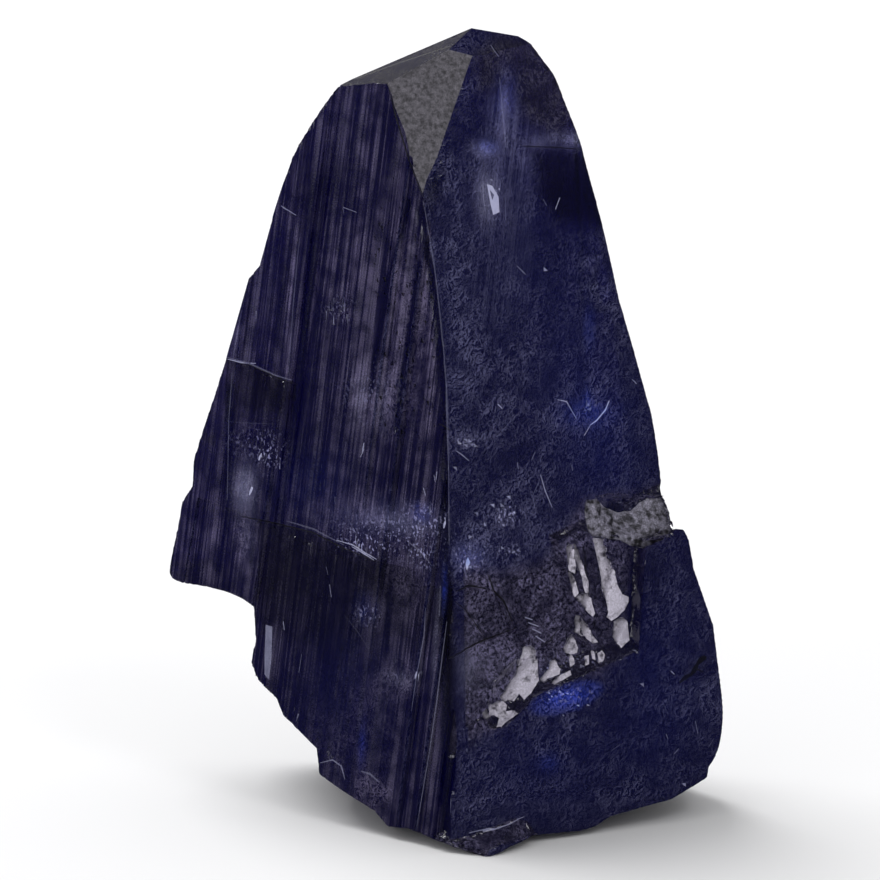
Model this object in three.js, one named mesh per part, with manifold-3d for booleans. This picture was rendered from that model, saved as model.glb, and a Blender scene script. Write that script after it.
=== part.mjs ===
// Rough tanzanite crystal: one broken, upright prism with a striated left face, a smooth right
// face, a chisel-like top and a broken foot. Millimetres, +Z up, the front ridge faces -Y.
import * as THREE from "three";
import { mergeVertices } from "three/addons/utils/BufferGeometryUtils.js";
import Module from "manifold-3d";

const wasm = await Module();
wasm.setup();

const degrees = THREE.MathUtils.degToRad;
const point = (x, y, z) => new THREE.Vector3(x, y, z);

// Driving dimensions
const blockSize = 120; // side of the blocks that trim the crystal
const barLength = 60; // front to back length of the untrimmed outline
const curveSegments = 10; // straight pieces in each curve of the outline
const weldDistance = 1e-5; // corners closer than this are one
const sideFall = 15; // degrees that the broken sides fall towards the back
const leftTrace = -38; // plan angle of the striated left face
const rightTrace = 33; // plan angle of the smooth right face
const bevelTrace = 14; // plan angle of the narrow bevel on the right of the front ridge
const bulgeTrace = 25; // plan angle of the swollen lower right face
const grainTilt = 6.3; // degrees that the striations lean inside the left face
const leftLean = 0.09; // how far the left face leans back for each millimetre of height

// The front ridge rises straight to ridgeBendHeight and then curves to the left, in the left face
const ridgeFoot = point(0.3, -8.6, 0);
const ridgeBendHeight = 22;
const ridgeTipHeight = 36.5;
const ridgeTipOffset = 1.42; // how far the curve has moved left at the tip
const ridgeDrift = 0.2; // how far the straight part has moved left at the bend
const ridgeStops = [0, ridgeBendHeight, 27, 32, ridgeTipHeight];
const bevelShift = point(0.75, 0.12, 0); // from the ridge to the far edge of its bevel
const leftFaceHead = point(ridgeFoot.x, ridgeFoot.y + leftLean * ridgeTipHeight, ridgeTipHeight);

// The back leans forward as it rises
const backFoot = point(0, 9.3, 0);
const backHead = point(0, 2.9, 44.5);
const backTrace = 176;
const backGrainTilt = -4;
const rightBack = { low: point(16.1, 0.6, 5), high: point(10.9, 1.4, 28), trace: 130 };

// Corners of the top: the frosted facet and the two narrow facets above it
const topLeft = point(-3.28, -2.0, 42.46);
const topMiddle = point(0.2, -0.38, 44.04);
const topRight = point(1.65, -0.16, 43.62);
const topBack = point(0.25, 1.5, 44.4);
const apex = point(1.48, 1.5, 44.85);
const beforeTop = point(-1, -9, 42); // a point outside the frosted facet
const farAbove = point(0, 0, 80);
const farLeft = -20; // a place outside the left side
const ground = { low: point(0, 0, 0), high: point(0, 9, 0), trace: 180 };

// The right face lies deeper than the bulge under it. Its lower edge is a low ledge, a stair of
// three upright steps and a high ledge at the right, each given by two points on the bulge.
const intoBulge = point(-0.42, 0.91, 0); // level direction into the stone, square to the bulge
const alongBulge = point(0.91, 0.42, 0); // level direction to the right, along the bulge
const lowLedge = { from: point(1.65, -7.5, 7.2), to: point(9.5, -3.55, 9.7), rise: 0.7 };
const highLedge = { from: point(7.75, -3.7, 16.3), to: point(12.57, -1.4, 16.8), rise: 1.0 };
const stairs = [
  { top: point(7.2, -3.95, 16.5), bottom: point(8.6, -3.7, 12.4), slant: 1.2, shallower: 0 },
  { top: point(9.2, -3.0, 16.7), bottom: point(10.2, -2.9, 12.8), slant: 1.6, shallower: 0.42 },
  { top: point(11.2, -2.1, 15.9), bottom: point(10.9, -2.9, 10.3), slant: 0.3, shallower: 0.8 },
];

// Main grooves of the left face: distance from the ridge, lower and upper end, half width, depth
const grooves = [
  { along: -0.95, low: -6, high: 17, half: 0.45, deep: 0.34 },
  { along: -2.45, low: -6, high: 17, half: 0.32, deep: 0.34 },
  { along: -3.85, low: -2, high: 21, half: 0.3, deep: 0.32 },
  { along: -7.35, low: 8, high: 38, half: 0.32, deep: 0.38 },
  { along: -9.15, low: 17, high: 39, half: 0.36, deep: 0.4 },
  { along: -14.9, low: 7, high: 43, half: 0.55, deep: 0.45 },
  { along: -15.95, low: 4, high: 20, half: 0.3, deep: 0.45 },
  { along: -14.1, low: 0, high: 11, half: 0.45, deep: 0.3 },
  { along: -12.2, low: 4, high: 15, half: 0.2, deep: 0.25 },
  { along: -19.25, low: 8, high: 33, half: 0.26, deep: 0.3 },
];

// Striations: two saw-like series of growth steps, fading out towards the ridge
const combPitch = 0.3; // spacing of the points that draw them
const leftComb = { from: -27, to: 6 }; // how far they run along the left face, from the ridge
const backComb = { from: -24, to: 24 };
const fineStep = { pitch: 0.9, height: 0.09 };
const broadStep = { pitch: 2.4, height: 0.13 };
const calmNearRidge = 11; // distance over which the steps grow to their full height

// Cracks that cross the left face. Under each the face lies deeper and runs out downwards.
const leftSteps = [
  { left: -19.2, right: -7.4, leftHeight: 17.1, rightHeight: 15.2, setBack: 0.36, fade: 12 },
  { left: -19.2, right: -13.2, leftHeight: 25.6, rightHeight: 24.6, setBack: 0.18, fade: 6 },
];
const stepBlockDepth = 4; // thickness of the block that cuts one

// The small toe under the foot of the ridge: plan corners, block height, and the two faces that
// trim it, each given by three points and a point outside
const toeForm = {
  plan: [[-0.6, -8.2], [1.1, -9.0], [2.4, -9.3], [3.5, -8.6], [5.2, -7.0], [2.5, -5.5]],
  height: 3,
  top: [point(1.3, -8.3, 0.9), point(3.4, -7.5, 1.3), point(2.4, -9.3, 0.35), farAbove],
  rightEnd: [point(3.2, -8.9, 0.5), point(3.4, -7.7, 1.35), point(5.3, -7.6, 0), point(9, -8, 4)],
};

// Flat breaks that leave only the middle of the foot to stand on: three points, the first two
// on the ground, and a point outside
const footBreaks = {
  back: [point(-6, 5.6, 0), point(8, 6.4, 0), point(0, 9.3, 2.6), point(0, 20, -4)],
  right: [point(10.8, -3, 0), point(9.6, 5, 0), point(15.5, 0, 2.3), point(30, 0, -4)],
  left: [point(-5.6, 1, 0), point(-4.4, 6, 0), point(-9, 4, 3), point(-20, 4, -4)],
};

// Facets of the round cutters
const grooveFacets = { around: 8, along: 10 };
const hollowFacets = { around: 13, down: 9 };
const hollowWaves = { height: 0.09, across: 4.1, along: 3.3, upright: 2.7 }; // uneven shell faces

// Hollows of broken shell shape: centre, radii, turn about Z and roll in the face, in degrees
const hollows = {
  paleAboveBulge: { at: [4.0, -6.35, 8.8], radii: [2.6, 1.15, 1.15], turn: 33, roll: 52 },
  roundBesideRidge: { at: [3.1, -7.8, 9.9], radii: [2.0, 1.65, 2.0], turn: 33 },
  frostedOnLedge: { at: [10.6, -2.1, 18.0], radii: [3.1, 1.7, 1.75], turn: 33, roll: -8 },
  underBulge: { at: [9.5, -5.9, -0.6], radii: [3.2, 1.9, 1.5], turn: 25 },
  lowLeft: { at: [-4.6, -6.4, 1.6], radii: [1.9, 1.6, 1.5], turn: -38 },
  lowerLeftCorner: { at: [-7.4, -3.8, 4.2], radii: [1.6, 1.4, 1.4], turn: -38 },
  underSlab: { at: [-13.2, 8.2, 10.0], radii: [3.0, 3.4, 2.6], turn: -20 },
  leftUnderside: { at: [-8.8, 4.2, 1.2], radii: [3.4, 3.6, 3.2], turn: 20 },
  backShell: { at: [9.6, 9.6, 12.0], radii: [3.4, 3.2, 5.2], turn: 40, roll: 8 },
  lowBackShell: { at: [-4.6, 11.4, 3.6], radii: [5.2, 3.4, 3.6], turn: -10, roll: -20 },
  rightBackChip: { at: [9.0, 7.9, 21.0], radii: [2.4, 2.4, 3.4], turn: 40, roll: 10 },
  rightBackFlake: { at: [8.4, 6.1, 30.5], radii: [2.0, 2.0, 3.4], turn: 40, roll: -14 },
  rightBackFoot: { at: [15.2, 7.2, 0.6], radii: [4.4, 3.6, 3.0], turn: 35, roll: 12 },
};

// Turns a closed three.js geometry into a solid that can be cut and joined.
function solidOf(geometry) {
  const bare = geometry.index ? geometry.toNonIndexed() : geometry.clone();
  bare.deleteAttribute("normal");
  bare.deleteAttribute("uv");
  const merged = mergeVertices(bare, weldDistance);
  return new wasm.Manifold(new wasm.Mesh({
    numProp: 3,
    vertProperties: new Float32Array(merged.attributes.position.array),
    triVerts: new Uint32Array(merged.index.array),
  }));
}

// Gives the finished solid back as a geometry.
function geometryOf(solid) {
  const mesh = solid.getMesh();
  const geometry = new THREE.BufferGeometry();
  geometry.setAttribute("position", new THREE.BufferAttribute(mesh.vertProperties, 3));
  geometry.setIndex(new THREE.BufferAttribute(mesh.triVerts, 1));
  geometry.computeVertexNormals();
  return geometry;
}

// Axes of a flat face: level along the plan angle, upward in the face towards the point high,
// outward to the right of level.
function faceAxes(low, high, trace) {
  const level = point(Math.cos(degrees(trace)), Math.sin(degrees(trace)), 0);
  const upward = high.clone().sub(low);
  upward.addScaledVector(level, -upward.dot(level)).normalize();
  return { level, upward, outward: level.clone().cross(upward) };
}

// A block that fills everything outside a flat face through the points low and high.
function outsideOf(low, high, trace) {
  const { level, upward, outward } = faceAxes(low, high, trace);
  const block = new THREE.BoxGeometry(blockSize, blockSize, blockSize);
  block.translate(0, 0, blockSize / 2);
  block.applyMatrix4(new THREE.Matrix4().makeBasis(level, upward, outward));
  block.translate(low.x, low.y, low.z);
  return solidOf(block);
}

// The same for a face through three points, with the outside where the point outer lies.
function outsideOfThree(a, b, c, outer) {
  const along = b.clone().sub(a).normalize();
  const outward = along.clone().cross(c.clone().sub(a)).normalize();
  if (outer.clone().sub(a).dot(outward) < 0) {
    outward.negate();
  }
  const block = new THREE.BoxGeometry(blockSize, blockSize, blockSize);
  block.translate(0, 0, blockSize / 2);
  block.applyMatrix4(new THREE.Matrix4().makeBasis(along, outward.clone().cross(along), outward));
  block.translate(a.x, a.y, a.z);
  return solidOf(block);
}

// Depth of the striations at a distance along the face.
function striationDepth(along) {
  const saw = ({ pitch, height }) => height * (along / pitch - Math.floor(along / pitch));
  const strength = Math.min(1, Math.abs(along) / calmNearRidge);
  return strength * (saw(fineStep) + saw(broadStep));
}

// A block outside a striated face. Its inner side is a comb of long growth steps.
function striatedOutside(low, high, trace, tilt, { from, to }) {
  const comb = new THREE.Shape();
  comb.moveTo(from, -blockSize / 2);
  comb.lineTo(to, -blockSize / 2);
  const teeth = Math.round((to - from) / combPitch);
  for (let tooth = teeth; tooth >= 0; tooth -= 1) {
    const along = from + tooth * combPitch;
    comb.lineTo(along, striationDepth(along));
  }
  comb.closePath();
  const block = new THREE.ExtrudeGeometry(comb, { depth: blockSize, bevelEnabled: false });
  block.translate(0, 0, -blockSize / 2);
  block.rotateY(degrees(tilt));
  const { level, upward, outward } = faceAxes(low, high, trace);
  block.applyMatrix4(new THREE.Matrix4().makeBasis(level, outward.clone().negate(), upward));
  block.translate(low.x, low.y, low.z);
  return solidOf(block);
}

// The ridge at a height. Its depth follows the plane of the left face.
function ridgeAt(height) {
  const bent = Math.max(0, height - ridgeBendHeight) / (ridgeTipHeight - ridgeBendHeight);
  const drift = ridgeDrift * Math.min(1, height / ridgeBendHeight);
  const x = ridgeFoot.x - drift - ridgeTipOffset * bent ** 2;
  const y = ridgeFoot.y + (x - ridgeFoot.x) * Math.tan(degrees(leftTrace)) + leftLean * height;
  return point(x, y, height);
}

// The outline of the broken crystal, square to a line that falls by sideFall towards the back.
function outlineShape() {
  const outline = new THREE.Shape();
  const curve = (...pairs) => outline.splineThru(pairs.map(([x, h]) => new THREE.Vector2(x, h)));
  outline.moveTo(1.48, 43.71);
  outline.lineTo(4.06, 43.3);
  curve([4.84, 42.8], [5.46, 42.0], [6.13, 41.1], [6.64, 39.8], [7.25, 38.3], [7.64, 37.2]);
  outline.lineTo(8.71, 33.3);
  outline.lineTo(9.77, 28.6);
  outline.lineTo(11.62, 22.2);
  outline.lineTo(12.01, 19.7);
  outline.lineTo(12.18, 18.1);
  outline.lineTo(12.74, 15.9);
  outline.lineTo(13.41, 15.8);
  outline.lineTo(13.69, 15.2);
  outline.lineTo(13.97, 13.6);
  outline.lineTo(15.1, 10.4);
  curve([15.32, 8.6], [15.65, 5.96], [15.6, 4.3], [15.3, 3.1], [14.87, 2.4]);
  outline.lineTo(14.76, 1.8);
  outline.lineTo(13.9, 1.26);
  outline.lineTo(12.74, 0.59);
  outline.lineTo(9.32, -0.31);
  outline.lineTo(8.43, -0.87);
  outline.lineTo(7.76, -1.1);
  outline.lineTo(4.96, -1.3);
  outline.lineTo(3.67, -1.9);
  curve([2.38, -2.4], [0.64, -2.0]);
  outline.lineTo(-2.04, -0.92);
  outline.lineTo(-3.2, -0.85);
  outline.lineTo(-3.9, -0.03);
  outline.lineTo(-5.85, 1.15);
  outline.lineTo(-7.08, 2.0);
  outline.lineTo(-7.25, 3.5);
  outline.lineTo(-9.16, 5.35);
  outline.lineTo(-9.5, 6.2);
  outline.lineTo(-10.56, 7.25);
  curve([-10.93, 8.3], [-10.7, 9.5]);
  outline.lineTo(-10.8, 11.4);
  curve([-11.4, 11.8], [-12.3, 12.2], [-13.5, 12.5]);
  outline.lineTo(-14.9, 12.7);
  curve([-15.5, 13.0], [-15.6, 13.7], [-15.2, 15.65]);
  outline.lineTo(-14.9, 17.3);
  outline.lineTo(-14.3, 18.2);
  outline.lineTo(-14.2, 19.8);
  outline.lineTo(-12.3, 25.5);
  outline.lineTo(-11.0, 29.9);
  outline.lineTo(-10.4, 30.6);
  outline.lineTo(-9.66, 33.3);
  curve([-8.6, 36.4], [-7.8, 37.9], [-6.5, 39.8], [-5.85, 40.5]);
  outline.lineTo(-5.18, 40.85);
  outline.closePath();
  return outline;
}

// The whole outline as a long bar that everything else is cut from.
function outlineBar() {
  const bar = new THREE.ExtrudeGeometry(outlineShape(), {
    depth: barLength,
    bevelEnabled: false,
    curveSegments,
  });
  bar.translate(0, 0, -barLength / 2);
  bar.rotateX(degrees(90 - sideFall));
  return solidOf(bar);
}

// A hollow left by a shell-like break.
function hollow({ at, radii, turn, roll = 0 }) {
  const shell = new THREE.SphereGeometry(1, hollowFacets.around, hollowFacets.down);
  const corners = shell.attributes.position;
  const { height, across, along, upright } = hollowWaves;
  for (let each = 0; each < corners.count; each += 1) {
    const corner = point(0, 0, 0).fromBufferAttribute(corners, each);
    const wave = Math.sin(across * corner.x + upright * corner.z) * Math.cos(along * corner.y - at[2]);
    corner.multiplyScalar(1 + height * wave);
    corners.setXYZ(each, corner.x, corner.y, corner.z);
  }
  shell.scale(...radii);
  shell.rotateY(degrees(-roll));
  shell.rotateZ(degrees(turn));
  shell.translate(...at);
  return solidOf(shell);
}

// Puts a geometry made in the left face's own frame (along, into the stone, up) in its place.
function ontoLeftFace(geometry) {
  const { level, upward, outward } = faceAxes(ridgeFoot, leftFaceHead, leftTrace);
  const inward = outward.clone().negate();
  geometry.applyMatrix4(new THREE.Matrix4().makeBasis(level, inward, upward));
  geometry.translate(ridgeFoot.x, ridgeFoot.y, ridgeFoot.z);
  return solidOf(geometry);
}

// A long groove along the striations that runs out at both ends.
function groove({ along, low, high, half, deep }) {
  const spindle = new THREE.SphereGeometry(1, grooveFacets.around, grooveFacets.along);
  spindle.rotateX(Math.PI / 2);
  spindle.scale(half, deep, (high - low) / 2);
  spindle.translate(along, 0, (low + high) / 2);
  spindle.rotateY(degrees(grainTilt));
  return ontoLeftFace(spindle);
}

// The part of the left face under a crack that crosses it, set back and running out downwards.
function stepUnderCrack({ left, right, leftHeight, rightHeight, setBack, fade }) {
  const chunk = new THREE.BoxGeometry(right - left, stepBlockDepth, fade);
  chunk.translate(0, setBack - stepBlockDepth / 2, -fade / 2);
  chunk.rotateX(-Math.atan(setBack / fade));
  chunk.rotateY(Math.atan((leftHeight - rightHeight) / (right - left)));
  chunk.translate((left + right) / 2, 0, (leftHeight + rightHeight) / 2);
  return ontoLeftFace(chunk);
}

// Everything above a ledge that slopes up into the stone.
function aboveLedge({ from, to, rise }) {
  const inner = from.clone().add(intoBulge).add(point(0, 0, rise));
  return outsideOfThree(from, to, inner, farAbove);
}

// Everything to the left of one upright step of the stair.
function leftOfStep({ top, bottom, slant }) {
  const inner = top.clone().add(intoBulge).addScaledVector(alongBulge, -slant);
  return outsideOfThree(top, bottom, inner, point(farLeft, top.y, top.z));
}

// Everything in front of the curved right face, moved out by shallower.
function outsideRightFace(shallower) {
  const edge = ridgeStops.map((height) => ridgeAt(height).add(bevelShift));
  const moved = edge.map((corner) => corner.add(point(0, -shallower, 0)));
  let outside = outsideOf(moved[0], moved[1], rightTrace);
  for (let stop = 1; stop < moved.length - 1; stop += 1) {
    outside = outside.add(outsideOf(moved[stop], moved[stop + 1], rightTrace));
  }
  return outside;
}

// The small toe that stands out under the foot of the ridge.
function toe() {
  const { plan, height, top, rightEnd } = toeForm;
  const footprint = new THREE.Shape(plan.map(([x, y]) => new THREE.Vector2(x, y)));
  const block = new THREE.ExtrudeGeometry(footprint, { depth: height, bevelEnabled: false });
  return solidOf(block).subtract(outsideOfThree(...top)).subtract(outsideOfThree(...rightEnd));
}

function crystalSolid() {
  let stone = outlineBar();
  const trim = (outside) => {
    stone = stone.subtract(outside);
  };

  // Front faces and the bevel on the ridge
  trim(striatedOutside(ridgeFoot, leftFaceHead, leftTrace, grainTilt, leftComb));
  trim(outsideOf(ridgeAt(0).add(bevelShift), ridgeAt(ridgeBendHeight).add(bevelShift), bulgeTrace));
  for (let stop = 0; stop < ridgeStops.length - 1; stop += 1) {
    trim(outsideOf(ridgeAt(ridgeStops[stop]), ridgeAt(ridgeStops[stop + 1]), bevelTrace));
  }

  // The right face, its ledges and the stair between them
  trim(outsideRightFace(0).intersect(aboveLedge(highLedge)));
  for (const step of stairs) {
    trim(outsideRightFace(step.shallower).intersect(aboveLedge(lowLedge)).intersect(leftOfStep(step)));
  }

  // Top facets
  trim(outsideOfThree(ridgeAt(ridgeTipHeight), topLeft, topRight, beforeTop));
  trim(outsideOfThree(topLeft, topMiddle, topBack, farAbove));
  trim(outsideOfThree(topMiddle, topRight, apex, farAbove));

  // Back faces and foot
  trim(striatedOutside(backFoot, backHead, backTrace, backGrainTilt, backComb));
  trim(outsideOf(rightBack.low, rightBack.high, rightBack.trace));

  // Grooves, cracks and shell-like breaks
  for (const each of grooves) {
    trim(groove(each));
  }
  for (const each of leftSteps) {
    trim(stepUnderCrack(each));
  }
  for (const each of Object.values(hollows)) {
    trim(hollow(each));
  }
  for (const each of Object.values(footBreaks)) {
    trim(outsideOfThree(...each));
  }
  stone = stone.add(toe().intersect(outlineBar()));
  trim(outsideOf(ground.low, ground.high, ground.trace));
  return stone;
}

const geometry = geometryOf(crystalSolid());
geometry.computeBoundingBox();
const middle = geometry.boundingBox.getCenter(point(0, 0, 0));
geometry.translate(-middle.x, -middle.y, -geometry.boundingBox.min.z);

const tanzanite = new THREE.MeshStandardMaterial({
  color: 0x1c1c48,
  roughness: 0.25,
  metalness: 0,
});
const crystal = new THREE.Mesh(geometry, tanzanite);
crystal.name = "crystal";

const group = new THREE.Group();
group.add(crystal);

export default group;
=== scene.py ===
# Rough tanzanite crystal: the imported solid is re-cut into fine strips, given its growth striations, pits and
# breaks as real relief, and lit on a pale floor.
import math
import random

import bmesh
import bpy
import numpy as np
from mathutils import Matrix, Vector


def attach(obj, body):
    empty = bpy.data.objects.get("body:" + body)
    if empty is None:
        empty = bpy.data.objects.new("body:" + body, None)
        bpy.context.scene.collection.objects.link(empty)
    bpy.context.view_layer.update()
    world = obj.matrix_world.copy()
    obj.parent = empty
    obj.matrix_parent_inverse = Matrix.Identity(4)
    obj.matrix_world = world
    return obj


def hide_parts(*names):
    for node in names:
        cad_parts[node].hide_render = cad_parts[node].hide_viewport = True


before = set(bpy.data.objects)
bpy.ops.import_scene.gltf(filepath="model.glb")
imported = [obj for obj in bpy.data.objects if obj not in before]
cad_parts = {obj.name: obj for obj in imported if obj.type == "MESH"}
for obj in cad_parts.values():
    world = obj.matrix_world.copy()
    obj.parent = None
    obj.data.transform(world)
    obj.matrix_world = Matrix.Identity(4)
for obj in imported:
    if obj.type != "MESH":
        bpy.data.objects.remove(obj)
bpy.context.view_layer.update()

mm = 0.001
hair = 1e-3         # mm: nearer than this counts as touching
weld = 1e-4         # mm: points nearer than this become one
leastSink, mostSink = 0.02, 0.55        # mm: how far a break face may be sunk

camera = {
    "elevation": 15.0,
    "distance": 0.6,
    "target": (-0.308, 0.0, 21.54),  # mm
    "frameWidth": 49.28,             # mm across the frame at the target
    "sensor": 36,                    # mm
}


# noise and soft steps for the relief, all in millimetres
def softStep(value, low, high):
    t = np.clip((value - low) / (high - low), 0.0, 1.0)
    return t * t * (3.0 - 2.0 * t)


def latticeValue(ix, iy, iz, seed):
    h = (ix * 374761393 + iy * 668265263 + iz * 2147483647 + seed * 144665) & 0xFFFFFFFF
    h = ((h ^ (h >> 13)) * 1274126177) & 0xFFFFFFFF
    h = ((h ^ (h >> 16)) * 2246822519) & 0xFFFFFFFF
    return ((h ^ (h >> 15)) & 0xFFFFFF) / float(0xFFFFFF)


def lumps(points, size, seed, stretch=(1.0, 1.0, 1.0)):
    p = points / (np.array(stretch) * size)
    base = np.floor(p).astype(np.int64)
    f = p - base
    f = f * f * (3.0 - 2.0 * f)
    total = 0.0
    for dx in (0, 1):
        for dy in (0, 1):
            for dz in (0, 1):
                weight = (np.where(dx, f[:, 0], 1 - f[:, 0]) * np.where(dy, f[:, 1], 1 - f[:, 1])
                          * np.where(dz, f[:, 2], 1 - f[:, 2]))
                total = total + weight * latticeValue(base[:, 0] + dx, base[:, 1] + dy, base[:, 2] + dz, seed)
    return total


def layeredLumps(points, size, seed, octaves):
    total, reach = 0.0, 0.0
    for octave in range(octaves):
        share = 0.5 ** octave
        total = total + share * lumps(points, size * share, seed + 17 * octave)
        reach += share
    return total / reach


# The front map, on which all outlines are drawn: X, and the height seen from 15 degrees above level
mapTilt = math.radians(15)
mapInward = Vector((0, math.cos(mapTilt), -math.sin(mapTilt)))
mapRise = Vector((0, math.sin(mapTilt), math.cos(mapTilt)))


def onMap(x, y, z):
    return x, math.cos(mapTilt) * z + math.sin(mapTilt) * y


def frontMap(places):
    return onMap(*places.T)


def faceMap(faces):
    return frontMap(np.array([f.calc_center_median() for f in faces]))


# Distance to a line through points on the front map
def lineDistance(mapX, mapV, points):
    best = np.full(len(mapX), 1e9)
    for (ax, av), (bx, bv) in zip(points, points[1:]):
        ex, ev = bx - ax, bv - av
        t = np.clip(((mapX - ax) * ex + (mapV - av) * ev) / (ex * ex + ev * ev), 0, 1)
        best = np.minimum(best, np.hypot(mapX - ax - t * ex, mapV - av - t * ev))
    return best


# Distance to the edge of a patch drawn on the front map, positive inside it
def patchDistance(mapX, mapV, corners):
    inside = np.zeros(len(mapX), bool)
    for (ax, av), (bx, bv) in zip(corners, corners[1:] + corners[:1]):
        if av != bv:
            inside ^= ((av > mapV) != (bv > mapV)) & (mapX < ax + (mapV - av) * (bx - ax) / (bv - av))
    best = lineDistance(mapX, mapV, corners + corners[:1])
    return np.where(inside, best, -best)


# Soft spots on the front map: centre, half sizes, lean to the right, strength
def spots(mapX, mapV, table):
    total = np.zeros(len(mapX))
    for x, v, wide, tall, lean, strength in table:
        dx = mapX - x - lean * (mapV - v)
        total += strength * np.exp(-((dx / wide) ** 2 + ((mapV - v) / tall) ** 2))
    return total


# Cuts faces with a fan of parallel planes, halving the list of planes each time
def sliceFan(bm, faces, direction, offsets):
    if not offsets or not faces:
        return faces
    middle = len(offsets) // 2
    offset = offsets[middle]
    low, high, cut = [], [], []
    for f in faces:
        reach = [v.co.dot(direction) for v in f.verts]
        if max(reach) <= offset + hair:
            low.append(f)
        elif min(reach) >= offset - hair:
            high.append(f)
        else:
            cut.append(f)
    if cut:
        for f in cutFaces(bm, cut, direction * (offset / direction.length_squared), direction):
            (low if f.calc_center_median().dot(direction) < offset else high).append(f)
    below = sliceFan(bm, low, direction, offsets[:middle])
    return below + sliceFan(bm, high, direction, offsets[middle + 1:])


def cutFaces(bm, faces, place, direction):
    edges = list({e for f in faces for e in f.edges})
    verts = list({v for f in faces for v in f.verts})
    made = bmesh.ops.bisect_plane(bm, geom=faces + edges + verts, dist=weld,
                                  plane_co=place, plane_no=direction)
    return [g for g in made["geom"] if isinstance(g, bmesh.types.BMFace)]


def evenSteps(low, high, step):
    return [low + step * (k + 0.5) for k in range(int((high - low) / step))]


# the crystal
crystalForm = {
    "leftNormal": (-0.6125, -0.7840, 0.0706),   # the striated left face
    "leftPlace": (0.3, -8.6, 0.0),              # a place on it
    "leftSetBack": 1.1,       # how far behind it, in mm, its steps may lie
    "rightNormal": (0.535, -0.835, 0.13),       # the smooth right face
    "bevelNormal": (0.24, -0.965, 0.10),
    "backNormal": (0.03, 0.985, 0.14),
    "frostNormal": (0.24, -0.89, 0.39),         # the frosted facet under the tip
    "ridgeX": 0.4,                # the left face ends at this X
    "bevelEnds": (1.6, 37.0),     # the bevel stays left of this X and below this height
    "frostFrom": 36.0,            # the frosted facet and the top lie above these heights
    "topFrom": 40.0,
    "leftLean": 0.12,         # how far a striation moves to +X for each mm of height
    "backLean": -0.07,
    "striaeWidth": (0.12, 0.42),
    "backStriaeWidth": (0.25, 0.8),
    "striaeDepth": 0.06,      # deepest fine striation, mm
    "grooveDepth": 0.08,
    "brokenDepth": 0.16,
    "smoothDepth": 0.02,
    "terraceDepth": 0.06,
    "rippleDepth": 0.10,      # on the shattered part of the right face
    "crumbleDepth": 0.10,
    "calmLumps": (5.0, 3, 2),     # size in mm, seed, octaves
    "brokenLumps": (2.6, 9, 4),
    "smoothLumps": (1.8, 23, 2),
    "rippleLumps": (1.5, 31, 3),
    "crumbleLumps": (0.7, 41, 2),
    "sliceUp": 0.8,               # height of the cells on the striated faces
    "pittedUp": 0.32,             # the same where the face is pitted
    "pittedHeights": (18, 38),
    "shatteredWidths": (0, 13),
    "shatteredHeights": (3, 44),
    "smoothCell": 0.3,
    "striaeCell": 0.2,
    "brokenCell": 0.32,
    "shatteredCell": 0.2,
    "footCell": 1.0,
    "striaeEdge": 3.0,        # degrees: sharper edges than this stay hard
    "plainEdge": 24.0,
    "fleckAreas": (0.008, 0.12),      # mm2, of the faces that may turn into flecks
    "fleckDepth": 0.015,
    "pitCount": 110,
    "pitDepth": 0.06,
    "seed": 11,
}
zoneNames = ["brokenZone", "leftZone", "rightZone", "backZone", "footZone",
             "bevelZone", "paleZone", "frostZone", "topZone", "ledgeZone"]
(brokenZone, leftZone, rightZone, backZone, footZone, bevelZone, paleZone, frostZone,
 topZone, ledgeZone) = range(len(zoneNames))
# Patches on the front map: the shattered part of the right face, and where that face is cut finer
brokenField = [(0.4, 14.2), (3.05, 13.4), (5.55, 14.1), (6.4, 15.2), (7.8, 17.4), (12.3, 18.2), (12.7, 15.9),
               (10.9, 14.9), (10.3, 11.8), (10.4, 9.3), (8.65, 7.8), (5.55, 8.0), (3.05, 5.0), (0.8, 3.4),
               (0.35, 6.2)]
fineField = [(0.4, 14.6), (6.6, 18.9), (12.9, 19.0), (13.0, 15.6), (10.9, 13.6), (10.8, 7.4), (9.2, 5.0),
             (4.0, 4.6), (0.4, 3.4)]
pittedField = [(-4.2, 33.5), (-1.6, 35.5), (-0.6, 29.0), (-0.35, 20.0), (-3.6, 20.0)]
shadeUnderUpperCrack = [(-12.3, 25.35), (-10.8, 24.95), (-9.2, 24.2), (-8.35, 23.95), (-8.6, 21.65), (-12.5, 21.7)]
shadeUnderLowerCrack = [(-10.5, 16.4), (-7.5, 15.7), (-5.65, 14.75), (-3.95, 14.1), (-2.55, 13.75), (-0.2, 12.4),
            (-0.3, 6.8), (-6.45, 8.5), (-10.3, 9.6), (-10.6, 11.85)]
greyTop = [(1.7, 42.1), (3.05, 43.2), (5.0, 42.9), (6.4, 40.95), (7.25, 38.7), (6.4, 37.6), (4.45, 38.7),
           (3.6, 40.1), (1.95, 40.4)]
# Painted shade on the terrace, which is also sunk a little
shadedTerrace = [(4.75, 37.1), (8.1, 37.0), (8.65, 34.8), (8.95, 32.85), (6.4, 33.0), (5.3, 34.25),
               (4.9, 35.65)]
streakyTop = [(2.4, 41.5), (4.75, 41.5), (5.3, 37.6), (4.75, 26.95), (1.35, 26.95), (1.95, 37.05)]
discPatch = [(0.55, 8.75), (1.95, 9.45), (3.6, 9.95), (4.3, 9.3), (4.15, 8.2), (3.5, 6.8), (2.5, 5.9),
             (1.35, 5.9), (0.6, 6.8)]
scallop = [(0.35, 13.8), (2.3, 13.95), (2.5, 12.7), (1.35, 12.75), (0.6, 12.4)]
frostOutline = [(-3.8, 42.1), (2.3, 44.0), (1.85, 43.2), (-0.5, 36.4), (-1.05, 35.2), (-1.3, 34.3)]
# Painted highlight: a bright white patch, and a dimmer spot in it
highlightPatch = [(2.3, 35.0), (2.6, 34.9), (2.95, 34.3), (3.0, 33.45), (2.65, 33.3), (2.5, 33.9)]
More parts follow.
